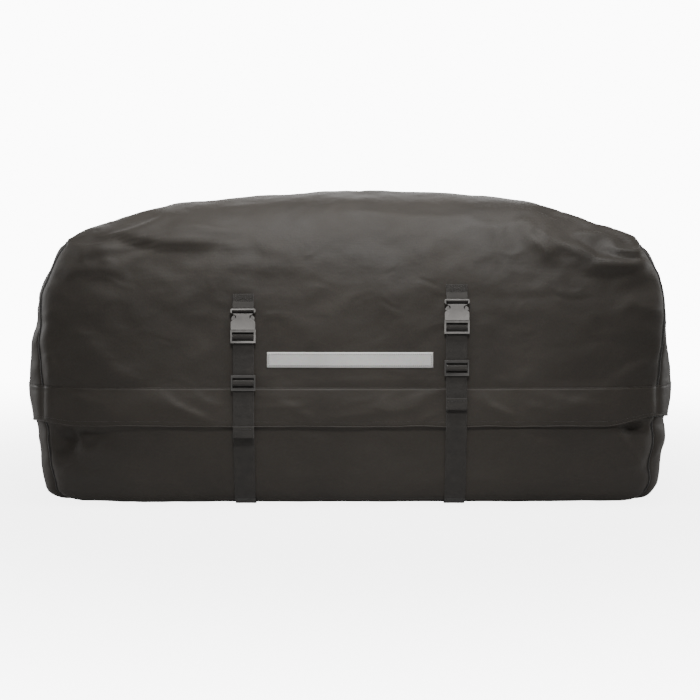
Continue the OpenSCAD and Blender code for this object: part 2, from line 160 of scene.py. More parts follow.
def even(fn, lo, hi, step):
    """Parameter values that are evenly spaced along the curve fn."""
    q = np.linspace(lo, hi, 1600)
    p = fn(q)
    s = length_along(p)
    n = max(2, int(round(s[-1] / step)) + 1)
    return np.interp(np.linspace(0, s[-1], n), s, q)


def unit(v):
    return v / np.maximum(np.linalg.norm(v, axis=-1, keepdims=True), 1e-12)


def normals_of(p):
    return unit(np.cross(np.gradient(p, axis=1), np.gradient(p, axis=0)))


# ---- shape of the cloth ----

def fbm(p, scale, octaves, seed):
    """Soft uneven noise over the points p; scale is how fast it changes along x, y and z."""
    at = p.reshape(-1, 3) * np.array(scale, float) + np.array([seed, -seed, 2 * seed])
    return np.array([noise.fractal(Vector(q), 0.6, 2.0, octaves) for q in at]).reshape(p.shape[:-1])


def crumpled(p, seed=0.0):
    """Sharp-backed creases a hand's width apart, left by folding the bag away; 0 on average."""
    at = [Vector((x * 6 + seed, y * 6, z * 9)) for x, y, z in p.reshape(-1, 3)]
    out = np.array([noise.ridged_multi_fractal(q, 0.9, 2.3, 3, 1.0, 1.6) for q in at]).reshape(p.shape[:-1])
    return out - out.mean()


def bump(p, at, size):
    d = (p - np.array(at)) / np.array(size)
    return np.exp(-np.sum(d * d, axis=-1))


def crease(p, a, b, width, side):
    """A sharp-edged fold from a to b: steep on one side, easing off on the other."""
    a, b = np.array(a), np.array(b)
    length = np.linalg.norm(b - a)
    u = (b - a) / length
    s = (p - a) @ u
    off = (p - a) - s[..., None] * u
    d = off @ np.cross(u, np.array([0, -1.0, 0])) * side
    ends = np.clip(s / length, 0, 1) * np.clip(1 - s / length, 0, 1) * 4
    ends = np.where((s > 0) & (s < length), ends, 0) ** 0.7
    profile = np.where(d > 0, np.exp(-d / width), np.exp(-(d / (0.35 * width)) ** 2))
    return ends * profile * np.exp(-(np.abs(off[..., 1]) / 0.2) ** 4)


def smooth01(q):
    q = np.clip(q, 0, 1)
    return q * q * (3 - 2 * q)


def rise(v, at, width):
    """0 up to at, rising softly to 1 within the width."""
    return smooth01((v - at) / width)


def bell(v, at, width):
    return np.exp(-((v - at) / width) ** 2)


def warp(p):
    """Stands the lid's corners square, flattens its ends higher up and fills them out lower down."""
    q = np.array(p, float)
    x, y, z = q[..., 0], q[..., 1], q[..., 2]
    h = np.clip((z - ZIP_Z) / LID_H, 0, 1)
    k = np.maximum((1 - h ** DOME_N) ** (1 / DOME_N), 0.12)
    vy = np.abs(y - BAG_Y) / (HALF_D * k)
    rel = np.abs(x) / (HALF_W * k)
    out = np.interp(h, [0.22, 0.5, 0.62, 0.74, 0.86, 1.0], [0, 0.020, 0.030, 0.037, 0.036, 0])
    out = out - np.where(x < 0, 0.013, 0) * rise(h, 0.5, 0.15) * (out > 0)
    flat = np.interp(h, [0.1, 0.35, 0.5, 0.7, 0.85, 1], [0, 0.45, 0.75, 0.7, 0.1, 0])
    dx = out * np.clip(rel / 0.945, 0, 1) ** 4 * rise(vy, 0.38, 0.44)
    dx = dx - flat * np.clip(rel - 0.945, 0, None) * HALF_W * k
    full = rise(z, 0.160, 0.05) * (1 - rise(z, 0.262, 0.08))
    tall = rise(z, 0.200, 0.06) * (1 - rise(z, 0.360, 0.10))
    dx = dx + (0.008 * full * np.clip(1 - (vy / 0.87) ** 6, 0, 1)
               + np.where(x > 0, 0.0065, 0.005 - 0.008 * rise(z, 0.29, 0.05)) * tall) \
        * rise(rel, 0.86, 0.08)
    q[..., 0] += np.sign(x) * dx
    high = rise(h, 0.5, 0.3)
    q[..., 2] += high * (0.008 * np.exp(-((x + 0.01) / 0.18) ** 2) - 0.002
                         + np.where(x < 0, 0.0040, -0.0010) * rise(np.abs(x), 0.36, 0.14))
    return q


def fold(p, line, soft, hard):
    """A fold of the front or back along a line in x and z, steep on its left-hand side."""
    x, z = p[..., 0], p[..., 2]
    best = np.full(x.shape, 1e9)
    sgn = np.ones(x.shape)
    par = np.zeros(x.shape)
    pts = np.array(line, float)
    seg = np.linalg.norm(np.diff(pts, axis=0), axis=1)
    tot, acc = seg.sum(), 0.0
    for i in range(len(pts) - 1):
        d = pts[i + 1] - pts[i]
        l2 = d @ d
        t = np.clip(((x - pts[i, 0]) * d[0] + (z - pts[i, 1]) * d[1]) / l2, 0, 1)
        ox, oz = x - pts[i, 0] - t * d[0], z - pts[i, 1] - t * d[1]
        dist = np.hypot(ox, oz)
        near = dist < best
        best = np.where(near, dist, best)
        sgn = np.where(near, np.sign(d[0] * oz - d[1] * ox), sgn)
        par = np.where(near, (acc + t * seg[i]) / tot, par)
        acc += seg[i]
    taper = np.clip(4.5 * par * (1 - par), 0, 1) ** 0.8
    return taper * np.where(sgn > 0, np.exp(-(best / hard) ** 2), np.exp(-(best / soft) ** 1.4))


# ---- materials ----

def new_mat(name):
    m = bpy.data.materials.new(name)
    m.use_nodes = True
    return m, m.node_tree, m.node_tree.nodes["Principled BSDF"]


def feed(node, sockets):
    """Gives each named input a value, or the output that it reads."""
    for key, v in sockets.items():
        if isinstance(v, bpy.types.NodeSocket):
            node.id_data.links.new(v, node.inputs[key])
        else:
            node.inputs[key].default_value = v
    return node


def add_node(nt, kind, sockets=None, **props):
    n = nt.nodes.new("ShaderNode" + kind)
    for k, v in props.items():
        setattr(n, k, v)
    return feed(n, sockets or {})


def object_space(nt):
    return add_node(nt, "TexCoord").outputs["Object"]


def cloud(nt, at, scale, detail, **more):
    return add_node(nt, "TexNoise", {"Vector": at, "Scale": scale, "Detail": detail, **more}).outputs


def bands(nt, at, axis, scale, distortion, detail):
    return add_node(nt, "TexWave", {"Vector": at, "Scale": scale, "Distortion": distortion, "Detail": detail},
                    wave_type="BANDS", bands_direction=axis).outputs["Fac"]


def two_tone(nt, fac, dark, light, lo=0.0, hi=1.0):
    ramp = add_node(nt, "ValToRGB", {"Fac": fac})
    for stop, at, tone in zip(ramp.color_ramp.elements, (lo, hi), (dark, light)):
        stop.position = at
        stop.color = (*tone, 1)
    return ramp.outputs["Color"]


def math_of(nt, operation, *values):
    return add_node(nt, "Math", dict(enumerate(values)), operation=operation).outputs[0]


def mapped(nt, value, **span):
    """Maps a value to a new range: From_Min, From_Max, To_Min, To_Max."""
    span = {k.replace("_", " "): v for k, v in span.items()}
    return add_node(nt, "MapRange", {"Value": value, **span}).outputs["Result"]


def bumped(nt, height, strength, distance, under=None):
    """A bump of a height map, on top of the bump under it."""
    b = add_node(nt, "Bump", {"Height": height, "Strength": strength, "Distance": distance})
    return feed(b, {"Normal": under} if under else {}).outputs["Normal"]


# crumples left by folding the bag away: how many to a metre, how deep, and where the pattern starts
CRUMPLES = ((6.0, 0.011, 0.0), (14.0, 0.0042, 3.7))


def coated(name, dark, light, rough=0.55, weave=0.07, sheen=0.05, crumple=0.0):
    """Coated woven cloth: fine weave, crumples, uneven gloss and faint lighter wear."""
    m, nt, bsdf = new_mat(name)
    at = object_space(nt)
    wear = cloud(nt, at, 5.5, 5, Roughness=0.6)["Fac"]
    tint = add_node(nt, "Mix", {"Factor": 0.35, "A": two_tone(nt, wear, dark, light, 0.32, 0.72),
                                "B": cloud(nt, at, 420, 2)["Color"]}, data_type="RGBA", blend_type="MULTIPLY")
    # threads in the three directions, so that every side shows two of them
    x, y, z = [bands(nt, at, axis, 170, 0.6, 1) for axis in "XYZ"]
    threads = math_of(nt, "ADD", math_of(nt, "ADD", x, y), z)
    relief = bumped(nt, threads, weave, 0.0004)
    relief = bumped(nt, cloud(nt, at, 26, 4)["Fac"], 0.35, 0.004, relief)
    for size, deep, start in CRUMPLES:
        moved = add_node(nt, "Mapping", {"Vector": at, "Location": (start,) * 3, "Scale": (1.0, 1.0, 1.5)})
        fold_tex = add_node(nt, "TexNoise", {"Vector": moved.outputs["Vector"], "Scale": size, "Detail": 2.0,
                                             "Roughness": 0.45, "Distortion": 0.9},
                            noise_type="RIDGED_MULTIFRACTAL")
        relief = bumped(nt, fold_tex.outputs["Fac"], crumple, deep, relief)
    feed(bsdf, {"Base Color": tint.outputs["Result"], "Normal": relief, "Specular IOR Level": 0.36,
                "Roughness": mapped(nt, wear, From_Min=0.3, From_Max=0.7,
                                    To_Min=rough - 0.07, To_Max=rough + 0.09),
                "Sheen Weight": sheen, "Sheen Roughness": 0.45})
    return m


def ribbed(name, dark, light, across="Z", pitch=0.0021, rough=0.72):
    """Woven webbing: ribs across the strap and fine yarns along it."""
    m, nt, bsdf = new_mat(name)
    at = object_space(nt)
    rib = bands(nt, at, across, 0.314 / pitch, 0.35, 1)
    yarn = bands(nt, at, "X", 0.314 / (pitch * 0.55), 0.8, 2)
    height = math_of(nt, "MULTIPLY_ADD", yarn, 0.35, rib)
    wear = cloud(nt, at, 60, 4)["Fac"]
    # colour is random tone times the rib and yarn height, so the grooves between ribs are darker: painted
    # shade over random tone
    feed(bsdf, {"Base Color": two_tone(nt, math_of(nt, "MULTIPLY", wear, height), dark, light),
                "Roughness": mapped(nt, wear, To_Min=rough - 0.06, To_Max=rough + 0.08),
                "Normal": bumped(nt, height, 0.7, 0.0005), "Sheen Weight": 0.25, "Sheen Roughness": 0.5,
                "Specular IOR Level": 0.3})
    return m


def moulded(name, dark, light, rough=0.42, metal=0.0, grain=700):
    """Moulded plastic or painted metal: fine grain, uneven gloss, and convex edges lightened as a painted
    highlight.
    """
    m, nt, bsdf = new_mat(name)
    at = object_space(nt)
    wear = cloud(nt, at, 45, 4)["Fac"]
    # painted highlight: convex edges, found by Pointiness, are mixed towards a tone about twice as light
    edges = mapped(nt, add_node(nt, "NewGeometry").outputs["Pointiness"], From_Min=0.52, From_Max=0.62)
    edge_highlight_tone = (*[min(1, c * 2.1 + 0.02) for c in light], 1)
    tint = add_node(nt, "Mix", {"Factor": edges, "A": two_tone(nt, wear, dark, light, 0.3, 0.75),
                                "B": edge_highlight_tone}, data_type="RGBA")
    feed(bsdf, {"Base Color": tint.outputs["Result"], "Metallic": metal,
                "Roughness": mapped(nt, wear, To_Min=rough - 0.08, To_Max=rough + 0.1),
                "Normal": bumped(nt, cloud(nt, at, grain, 3)["Fac"], 0.25, 0.0002)})
    return m


SHELL_TONES = (0.0340, 0.0282, 0.0224), (0.0510, 0.0432, 0.0350)
WEB_TONES = (0.018, 0.0160, 0.0140), (0.052, 0.0465, 0.041)
MAT_SHELL = coated("coated_shell", *SHELL_TONES, 0.58, crumple=0.42)
MAT_ENDS = coated("coated_ends", *SHELL_TONES, 0.58, crumple=0.42)
MAT_FLAP = coated("coated_flap", (0.0345, 0.0286, 0.0226), (0.0510, 0.0428, 0.0342), 0.56, crumple=0.40)
MAT_BASE = coated("base_cloth", (0.022, 0.021, 0.020), (0.034, 0.032, 0.030), 0.66, weave=0.5)
MAT_TRIM = ribbed("seam_binding", (0.016, 0.0145, 0.013), (0.036, 0.033, 0.029), "Z", 0.0012)
MAT_TAPE = ribbed("zip_tape", (0.014, 0.0135, 0.013), (0.032, 0.030, 0.028), "X", 0.0011)
MAT_WEB = ribbed("webbing", *WEB_TONES, "Z")
MAT_WEB_FLAT = ribbed("webbing_flat", *WEB_TONES, "Y")
MAT_THREAD = ribbed("thread", (0.022, 0.020, 0.018), (0.062, 0.056, 0.050), "Z", 0.0008, 0.6)
# painted highlight: sockets, plugs and prongs are the same dark glossy plastic as the adjusters, given a much
# lighter tone for the light their faces reflect
MAT_PLASTIC_PAINTED_LIGHT = moulded("moulded_plastic_painted_light", (0.150, 0.144, 0.137), (0.225, 0.216, 0.206), 0.25)
MAT_ADJUST = moulded("moulded_adjuster", (0.040, 0.038, 0.036), (0.062, 0.059, 0.056), 0.30)
MAT_COIL = moulded("zip_coil_plastic", (0.014, 0.014, 0.014), (0.03, 0.03, 0.029), 0.33, 0, 300)
MAT_METAL = moulded("painted_slider", (0.030, 0.030, 0.031), (0.05, 0.05, 0.052), 0.34, 0.6, 400)
MAT_PRINT = coated("plain_print", (0.62, 0.61, 0.59), (0.78, 0.77, 0.75), 0.55, 0.2, sheen=0)


# ---- mesh helpers ----

def place(name, data):
    o = bpy.data.objects.new(name, data)
    bpy.context.scene.collection.objects.link(o)
    return o


def add_obj(name, verts, faces, mat):
    me = bpy.data.meshes.new(name)
    me.from_pydata([tuple(v) for v in verts], [], faces)
    me.update()
    me.polygons.foreach_set("use_smooth", [True] * len(me.polygons))
    me.materials.append(mat)
    return place(name, me)


def part(node):
    """Hides the CAD node that a piece stands in for."""
    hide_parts(node)


def grid_faces(r, c):
    return [(i * c + j, i * c + j + 1, (i + 1) * c + j + 1, (i + 1) * c + j)
            for i in range(r - 1) for j in range(c - 1)]


def sheet_obj(name, p, mat, body, thick=0.0018, offset=-1.0):
    r, c = p.shape[:2]
    o = add_obj(name, p.reshape(-1, 3), grid_faces(r, c), mat)
    m = o.modifiers.new("thick", "SOLIDIFY")
    m.thickness = thick
    m.offset = offset
    if body:
        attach(o, body)
    return o


def clean(o):
    bm = bmesh.new()
    bm.from_mesh(o.data)
    bmesh.ops.recalc_face_normals(bm, faces=bm.faces)
    bm.to_mesh(o.data)
    bm.free()


def sweep(name, pts, ups, section, mat, body):
    """Sweeps a closed section, given as (side, up) pairs, along a line, and closes its ends."""
    t = unit(np.gradient(pts, axis=0))
    up = unit(ups - t * np.sum(ups * t, axis=1, keepdims=True))
    side = np.cross(t, up)
    n = len(section)
    verts = [pts[k] + side[k] * a + up[k] * b for k in range(len(pts)) for a, b in section]
    faces = [(k * n + i, k * n + (i + 1) % n, (k + 1) * n + (i + 1) % n, (k + 1) * n + i)
             for k in range(len(pts) - 1) for i in range(n)]
    faces.append(tuple(range(n))[::-1])
    faces.append(tuple((len(pts) - 1) * n + i for i in range(n)))
    o = add_obj(name, verts, faces, mat)
    clean(o)
    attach(o, body)
    return o


def circle(r, n=8):
    return [(r * math.cos(2 * math.pi * i / n), r * math.sin(2 * math.pi * i / n)) for i in range(n)]


def rounded(w, t, edge=0.9):
    """Section of a strap: flat faces, rounded edges, a slightly thicker selvedge."""
    h = t / 2
    turn = np.linspace(-math.pi / 2, math.pi / 2, 7)
    right = [(w / 2 - h + h * math.cos(a), h * math.sin(a)) for a in turn]
    left = [(-w / 2 + h - h * math.cos(a), -h * math.sin(a)) for a in turn]
    top = [(w * q, h * (edge + (1 - edge) * min(1, (2 * abs(q)) ** 6)))
           for q in (0.42, 0.25, 0, -0.25, -0.42)]
    bot = [(-a, -b) for a, b in top]
    return right + top + left + bot


def stitches(name, lines, mat, body, length=0.0034, pitch=0.0050, w=0.0008, h=0.0005):
    """Rows of short raised threads; each line is (points, outward directions)."""
    verts, faces = [], []
    for pts, ups in lines:
        s = length_along(pts)
        for m in np.arange(pitch / 2, s[-1] - length / 2, pitch):
            st = [m - length / 2, m - length * 0.25, m + length * 0.25, m + length / 2]
            p = np.array([[np.interp(q, s, pts[:, k]) for k in range(3)] for q in st])
            up = np.array([np.interp(m, s, ups[:, k]) for k in range(3)])
            up /= np.linalg.norm(up)
            t = p[3] - p[0]
            t /= max(np.linalg.norm(t), 1e-9)
            side = np.cross(t, up)
            base = len(verts)
            verts.append(p[0] - up * h * 0.6)
            for q in (p[1], p[2]):
                verts += [q + side * w / 2, q + up * h, q - side * w / 2, q - up * h]
            verts.append(p[3] - up * h * 0.6)
            a, b = base + 1, base + 5
            for i in range(4):
                j = (i + 1) % 4
                faces.append((base, a + j, a + i))
                faces.append((a + i, a + j, b + j, b + i))
                faces.append((b + i, b + j, base + 9))
    o = add_obj(name, verts, faces, mat)
    clean(o)
    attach(o, body)


def boxed_cross(corners, up):
    """A sewn square with its diagonals; up points out of the strap."""
    return [(np.array([corners[i], corners[j]]), np.tile(np.array(up), (2, 1)))
            for i, j in ((0, 1), (1, 2), (2, 3), (3, 0), (0, 2), (1, 3))]


def corded_seam(name, line, inner, centre_z, body):
    """A cord just under the cloth along a seam; inner is a line beside the seam on the cloth."""
    out = unit(np.cross(np.gradient(line, axis=0), inner - line))
    out *= np.sign(np.sum(out * (line - np.array([0, BAG_Y, centre_z])), axis=1, keepdims=True))
    return sweep(name, line - out * 0.0030, out, circle(0.0021), MAT_TRIM, body)


# ---- lid ----

STEP = 0.0075
cols = even(lambda q: lid_pt(q, 0.3), -LONG_EDGE, LONG_EDGE, STEP)
rows = even(lambda q: lid_pt(0.0, q), 0, 4, STEP)


def folds(table):
    """Folds given in millimetres: the line in x and z, the soft and the steep side's reach, the height."""
    return [([(x / 1000, z / 1000) for x, z in line], soft / 1000, steep / 1000, high / 1000)
            for line, soft, steep, high in table]


FRONT_FOLDS = folds([
    # top right: a fan of soft folds that runs down to the corner
    ([(300, 522), (345, 498), (372, 462)], 30, 10, 6.5),
    ([(312, 500), (352, 470), (375, 440)], 16, 6, 4.5),
    ([(345, 508), (400, 490), (440, 452)], 34, 12, 6),
    ([(405, 506), (462, 503), (496, 484)], 18, 6, 6),
    ([(560, 474), (520, 462), (485, 470), (470, 492)], 16, 6, 7.5),
    ([(580, 455), (500, 440), (415, 436)], 30, 10, 8.5),
    ([(575, 432), (520, 420), (470, 405)], 22, 10, 3.5),
    ([(575, 350), (510, 372), (480, 362)], 20, 8, 3.2),
    ([(600, 300), (540, 322), (460, 318)], 30, 12, 3),
    # top left: a ridge in from the outline that eases into a long plateau edge
    ([(-235, 478), (-330, 478), (-395, 490), (-450, 515)], 30, 7, 7.5),
    ([(-190, 498), (-280, 505), (-345, 500)], 18, 7, 4),
    ([(-180, 470), (-250, 484), (-330, 488)], 15, 7, 3),
    ([(-430, 470), (-500, 462)], 24, 10, 4),
    ([(-400, 430), (-480, 440), (-520, 425)], 34, 14, 4),
    # quiet folds of the face
    ([(-500, 330), (-420, 250), (-360, 222)], 36, 16, 3.4),
    ([(-300, 255), (-240, 300), (-215, 360)], 36, 16, 2.4),
    ([(470, 228), (535, 262), (590, 268)], 22, 10, 3.4),
    ([(-560, 300), (-540, 262), (-545, 225)], 16, 8, 3.6),
    ([(-60, 536), (80, 532), (220, 522)], 14, 7, 2.2),
    ([(120, 300), (60, 400), (80, 470)], 60, 30, 3),
])
BACK_FOLDS = folds([
    ([(280, 520), (400, 480), (500, 455)], 30, 10, 7),
    ([(-250, 515), (-380, 500), (-480, 462)], 30, 10, 7),
    ([(-420, 300), (-330, 390), (-300, 430)], 30, 12, 5),
    ([(300, 280), (380, 350), (470, 370)], 30, 12, 5),
    ([(-120, 250), (0, 290), (130, 280)], 34, 14, 3.4),
    ([(560, 330), (500, 420), (430, 450)], 24, 10, 4),
])


STRAP_TOP = 0.39                 # the straps' fittings end below this height


def held_down(p):
    """1 where a strap, the storm flap or the hinge lies over the cloth, 0 where it is free."""
    x, y, z = p[..., 0], p[..., 1], p[..., 2]
    strap = np.exp(-((np.abs(x) - STRAP_X) / 0.035) ** 4) * (np.abs(y - BAG_Y) > 0.1) * (z < STRAP_TOP)
    edge = np.clip((FLAP_HI + 0.010 - z) / 0.012, 0, 1) * np.clip((z - FLAP_LO + 0.010) / 0.012, 0, 1)
    band = np.clip((0.034 - np.abs(z - ZIP_Z)) / 0.012, 0, 1) * np.clip((0.46 - np.abs(x)) / 0.03, 0, 1)
    return np.maximum(np.maximum(strap, edge * (y < BAG_Y + 0.125)), band * (y > BAG_Y + 0.1))


def kept_flat(d, p):
    """The relief d, kept low where something lies over the cloth."""
    press = held_down(p)
    return d * (1 - press) + np.minimum(0.3 * d, 0) * press


def lid_relief(p):
    """How far the lid's cloth stands out or dips, in metres."""
    x, y, z = p[..., 0], p[..., 1], p[..., 2]
    h = np.clip((z - ZIP_Z) / LID_H, 0, 1)
    side = rise(np.abs(x), 0.20, 0.25)
    d = 0.0055 * fbm(p, (2.4, 2.6, 3.4), 2, 3.1)
    d += 0.0036 * fbm(p, (6.5, 8.0, 12.0), 3, 8.7) * (0.18 + 0.82 * rise(h, 0.45, 0.4)) \
        * (0.45 + 0.55 * side)
    d += 0.0011 * fbm(p, (16.0, 18.0, 34.0), 2, 1.9) * rise(h, 0.5, 0.35)
    d += 0.0030 * crumpled(p) * (0.40 + 0.60 * rise(h, 0.25, 0.4))
    mid = np.clip((BAG_Y - 0.02 - y) / 0.08, 0, 1)
    for line, soft, hard, amp in FRONT_FOLDS:
        d += 1.35 * amp * mid * fold(p, line, soft, hard)
    mid = np.clip((y - BAG_Y - 0.02) / 0.08, 0, 1)
    for line, soft, hard, amp in BACK_FOLDS:
        d += amp * mid * fold(p, line, soft, hard)
    return kept_flat(d, p)


def fade(n, m, first, last=3, sides=3):
    """0 at the edges of an n by m grid, rising to 1 within so many rows and columns."""
    a = np.clip(np.arange(n) / first, 0, 1)
    b = np.clip((n - 1 - np.arange(n)) / last, 0, 1)
    c = np.clip(np.minimum(np.arange(m), m - 1 - np.arange(m)) / sides, 0, 1)
    return smooth01((a * b)[:, None] * c[None, :])


def edge_dist(p):
    """Distance of each grid point to the two side edges, along the rows."""
    seg = np.linalg.norm(np.diff(p, axis=1), axis=-1)
    run = np.concatenate([np.zeros((p.shape[0], 1)), np.cumsum(seg, axis=1)], axis=1)
    return np.minimum(run, run[:, -1:] - run)


def gather(p, dist):
    """Puckers that a sewn edge draws into the cloth, and the groove at the seam itself."""
    pk = 0.0022 * fbm(p, (11, 34, 34), 2, 5.5) * bell(dist, 0, 0.035) \
        * smooth01(dist / 0.008)
    return pk - 0.0026 * bell(dist, 0, 0.0060)


def settle(p, pins, spare, frames, cap, stretch):
    """Lets cloth with some spare length buckle and sag between its seams; p is the grid it starts from."""
    r, c = p.shape[:2]
    o = add_obj("slack", p.reshape(-1, 3), grid_faces(r, c), MAT_SHELL)
    for name, w in (("pins", pins), ("spare", spare)):
        g = o.vertex_groups.new(name=name)
        q = np.round(np.clip(w, 0, 1).reshape(-1) * 200).astype(int)
        for level_at in np.unique(q):
            if level_at:
                g.add([int(i) for i in np.nonzero(q == level_at)[0]], level_at / 200, "REPLACE")
    m = o.modifiers.new("cloth", "CLOTH")
    for key, v in dict(quality=5, mass=0.3, tension_stiffness=40, compression_stiffness=40,
                       shear_stiffness=12, bending_stiffness=2.0, air_damping=3, vertex_group_mass="pins",
                       pin_stiffness=1.0, vertex_group_shrink="spare", shrink_min=0.0,
                       shrink_max=-stretch).items():
        setattr(m.settings, key, v)
    m.settings.effector_weights.gravity = 0.18
    m.collision_settings.use_collision = False
    m.collision_settings.use_self_collision = False
    m.point_cache.frame_start = 1
    m.point_cache.frame_end = frames
    for f in range(1, frames + 1):
        bpy.context.scene.frame_set(f)
    dg = bpy.context.evaluated_depsgraph_get()
    ev = o.evaluated_get(dg)
    co = np.zeros(r * c * 3)
    ev.data.vertices.foreach_get("co", co)
    bpy.data.objects.remove(o)
    bpy.context.scene.frame_set(1)
    move = co.reshape(r, c, 3) - p
    far = np.linalg.norm(move, axis=-1, keepdims=True)
    return p + move * cap * np.tanh(far / cap) / np.maximum(far, 1e-9)


C, R = np.meshgrid(cols, rows)
base = warp(lid_pt(C, R))
nrm = normals_of(base)
k = fade(*base.shape[:2], 3)
dist = edge_dist(base)
lid_p = base + nrm * (lid_relief(base) * k + gather(base, dist))[..., None]
gx, gy, gz = lid_p[..., 0], lid_p[..., 1], lid_p[..., 2]
gh = (gz - ZIP_Z) / LID_H
zone = rise(np.abs(gx), 0.26, 0.18) * rise(gh, 0.58, 0.22)
pins = 0.42 - 0.385 * zone
under = (gy < BAG_Y) * np.clip((FLAP_HI + 0.012 - gz) / 0.015, 0, 1)
strap = np.exp(-((np.abs(gx) - STRAP_X) / 0.035) ** 4) * (gy < BAG_Y - 0.15) * (gz < STRAP_TOP)
pins = np.maximum(pins, np.maximum(under, strap) * 0.9)
pins = np.maximum(pins, bell(dist, 0, 0.012))
pins[:3] = pins[-3:] = 1
pins[:, :2] = pins[:, -2:] = 1
lid_p = settle(lid_p, pins, zone, frames=20, cap=0.014, stretch=0.06)
lid = sheet_obj("lid_shell_wrap", lid_p, MAT_SHELL, "lid")
part("lid_wrap")

for sx, side in ((-1, "left"), (1, "right")):
    ws = even(lambda q: end_pt(sx, q, 0.3), -1, 1, STEP)
    ts = even(lambda q: end_pt(sx, 0.0, q), TAPE_H / LID_H, 1, STEP)
    W, T = np.meshgrid(ws if sx > 0 else ws[::-1], ts)
    b = warp(end_pt(sx, W, T))
    d = np.minimum(edge_dist(b), np.linalg.norm(b - b[-1:], axis=-1))
    rel = 0.005 * fbm(b, (4, 5.5, 4.5), 3, 2.2 + sx) + 0.0034 * fbm(b, (9, 20, 9), 2, 6.1) \
        + 0.0020 * crumpled(b, 11.0)
    p = b + normals_of(b) * (kept_flat(rel, b) * fade(*b.shape[:2], 3) + gather(b, d))[..., None]
    o = sheet_obj(f"lid_shell_end_{side}", p, MAT_ENDS, "lid")
    part(f"lid_end_{side}")
    # corded seam between the wrapped panel and the end
    cc = sx * (1 + SEAM_AT)
    rr = even(lambda q: lid_pt(cc, q), 0, 4, 0.006)
    line, inner = (warp(lid_pt(np.full(len(rr), c), rr)) for c in (cc, cc * 0.97))
    cord = corded_seam(f"lid_cording_{side}", line, inner, 0.25, "lid")
    part(f"lid_piping_{side}")

# ---- tub ----

FLAP_PINCH = [((-0.515, -0.205, 0.118), (0.030, 0.09, 0.030), -0.010),
              ((0.520, -0.205, 0.146), (0.030, 0.09, 0.022), -0.010),
              ((-0.470, -0.22, 0.132), (0.035, 0.09, 0.016), -0.004)]


def tub_relief(p):
    d = 0.0050 * fbm(p, (3.2, 3.2, 4.5), 2, 4.4)
    d += 0.0022 * fbm(p, (9.0, 9.0, 16.0), 3, 7.7)
    d += 0.0013 * crumpled(p, 5.0)
    for at, size, amp in FLAP_PINCH:
        d += amp * bump(p, at, size)
    f = BAG_Y - HALF_D
    for a, b, w, amp, s in [((-0.130, f, 0.142), (-0.020, f, 0.118), 0.016, 0.0030, 1),
                            ((0.020, f, 0.145), (0.110, f, 0.120), 0.016, 0.0026, -1),
                            ((-0.530, f, 0.060), (-0.440, f, 0.128), 0.018, 0.0042, 1),
                            ((0.540, f, 0.070), (0.470, f, 0.150), 0.018, 0.0042, -1),
                            ((0.300, f, 0.140), (0.420, f, 0.100), 0.020, 0.0030, 1),
                            ((-0.400, f, 0.136), (-0.280, f, 0.098), 0.020, 0.0026, -1)]:
        d += np.where(p[..., 1] < BAG_Y, amp * crease(p, a, b, w, s), 0)
    d = kept_flat(d, p)
    front = smooth01((BAG_Y - 0.12 - p[..., 1]) / 0.06)
    for line, soft, hard, amp in DENT_RIMS:
        d += front * amp * fold(p, line, soft, hard)
    for at, size, amp in DENTS:
        d += front * amp * bump(p, (at[0], BAG_Y - HALF_D + 0.02, at[1]), (size[0], 0.09, size[1]))
    return d


DENTS = [((-0.522, 0.128), (0.018, 0.020), -0.0100), ((0.520, 0.150), (0.028, 0.013), -0.0120),
         ((-0.480, 0.138), (0.030, 0.010), -0.0030)]
DENT_RIMS = folds([([(-512, 147), (-492, 124), (-494, 94)], 5, 14, 5.2),
                   ([(478, 156), (492, 138), (552, 128)], 14, 5, 5.6),
                   ([(560, 110), (530, 80), (470, 62)], 24, 12, 3),
                   ([(-545, 85), (-500, 60), (-440, 52)], 24, 12, 3)])


def tub_warp(p):
    """The front corners are drawn in under the flap and fuller half way down."""
    q = np.array(p, float)
    x, y, z = q[..., 0], q[..., 1], q[..., 2]
    c = rise(np.abs(x), 0.44, 0.10) * (0.25 + 0.75 * smooth01((BAG_Y - 0.10 - y) / 0.10))
    left = -0.0030 * bell(z, 0.140, 0.014) + 0.0050 * bell(z, 0.070, 0.028) \
        + 0.0080 * bell(z, 0.022, 0.022)
    right = -0.0050 * bell(z, 0.152, 0.016) + 0.0030 * bell(z, 0.105, 0.030) \
        + 0.0150 * bell(z, 0.036, 0.030) + 0.014 * bell(z, 0.006, 0.010)
    q[..., 0] += np.sign(x) * c * np.where(x < 0, left, right) * (1 - rise(z, 0.155, 0.012)) \
        * rise(z, 0.0024, 0.005)
    return q


FRONT_TOP, BACK_TOP = ZIP_Z - TAPE_H, ZIP_Z - 0.0003


def tub_dirs(where, q):
    """Plan directions of one tub panel's columns."""
    if where in ("front", "back"):
        return long_dir(q, np.full(np.shape(q), -1.0 if where == "front" else 1.0))[:2]
    return np.full(np.shape(q), -1.0 if where == "left" else 1.0), q


def tub_rows(top):
    return even(lambda z: np.stack([np.interp(z, BELLY_Z, BELLY_D), z], -1), 0.0024, top, 0.0065)


for where, mat, slot in (("front", MAT_SHELL, "shell"), ("back", MAT_SHELL, "shell"),
                         ("left", MAT_ENDS, "ends"), ("right", MAT_ENDS, "ends")):
    reach = LONG_EDGE if where in ("front", "back") else END_EDGE
    cs = even(lambda q: tub_pt(*tub_dirs(where, q), 0.1), -reach, reach, STEP)
    if where in ("back", "left"):
        cs = cs[::-1]
    zs = tub_rows(BACK_TOP if where == "back" else FRONT_TOP)
    X, Y = (np.meshgrid(q, zs)[0] for q in tub_dirs(where, cs))
    b = tub_warp(tub_pt(X, Y, np.broadcast_to(zs[:, None], X.shape)))
    k = fade(*b.shape[:2], 5)
    p = b + normals_of(b) * (tub_relief(b) * k + gather(b, edge_dist(b)) * k[:, 8:9])[..., None]
    p[..., 2] = np.maximum(p[..., 2], 0.0022)
    o = sheet_obj(f"tub_shell_{where}", p, mat, "tub")
    part(f"tub_{where}")

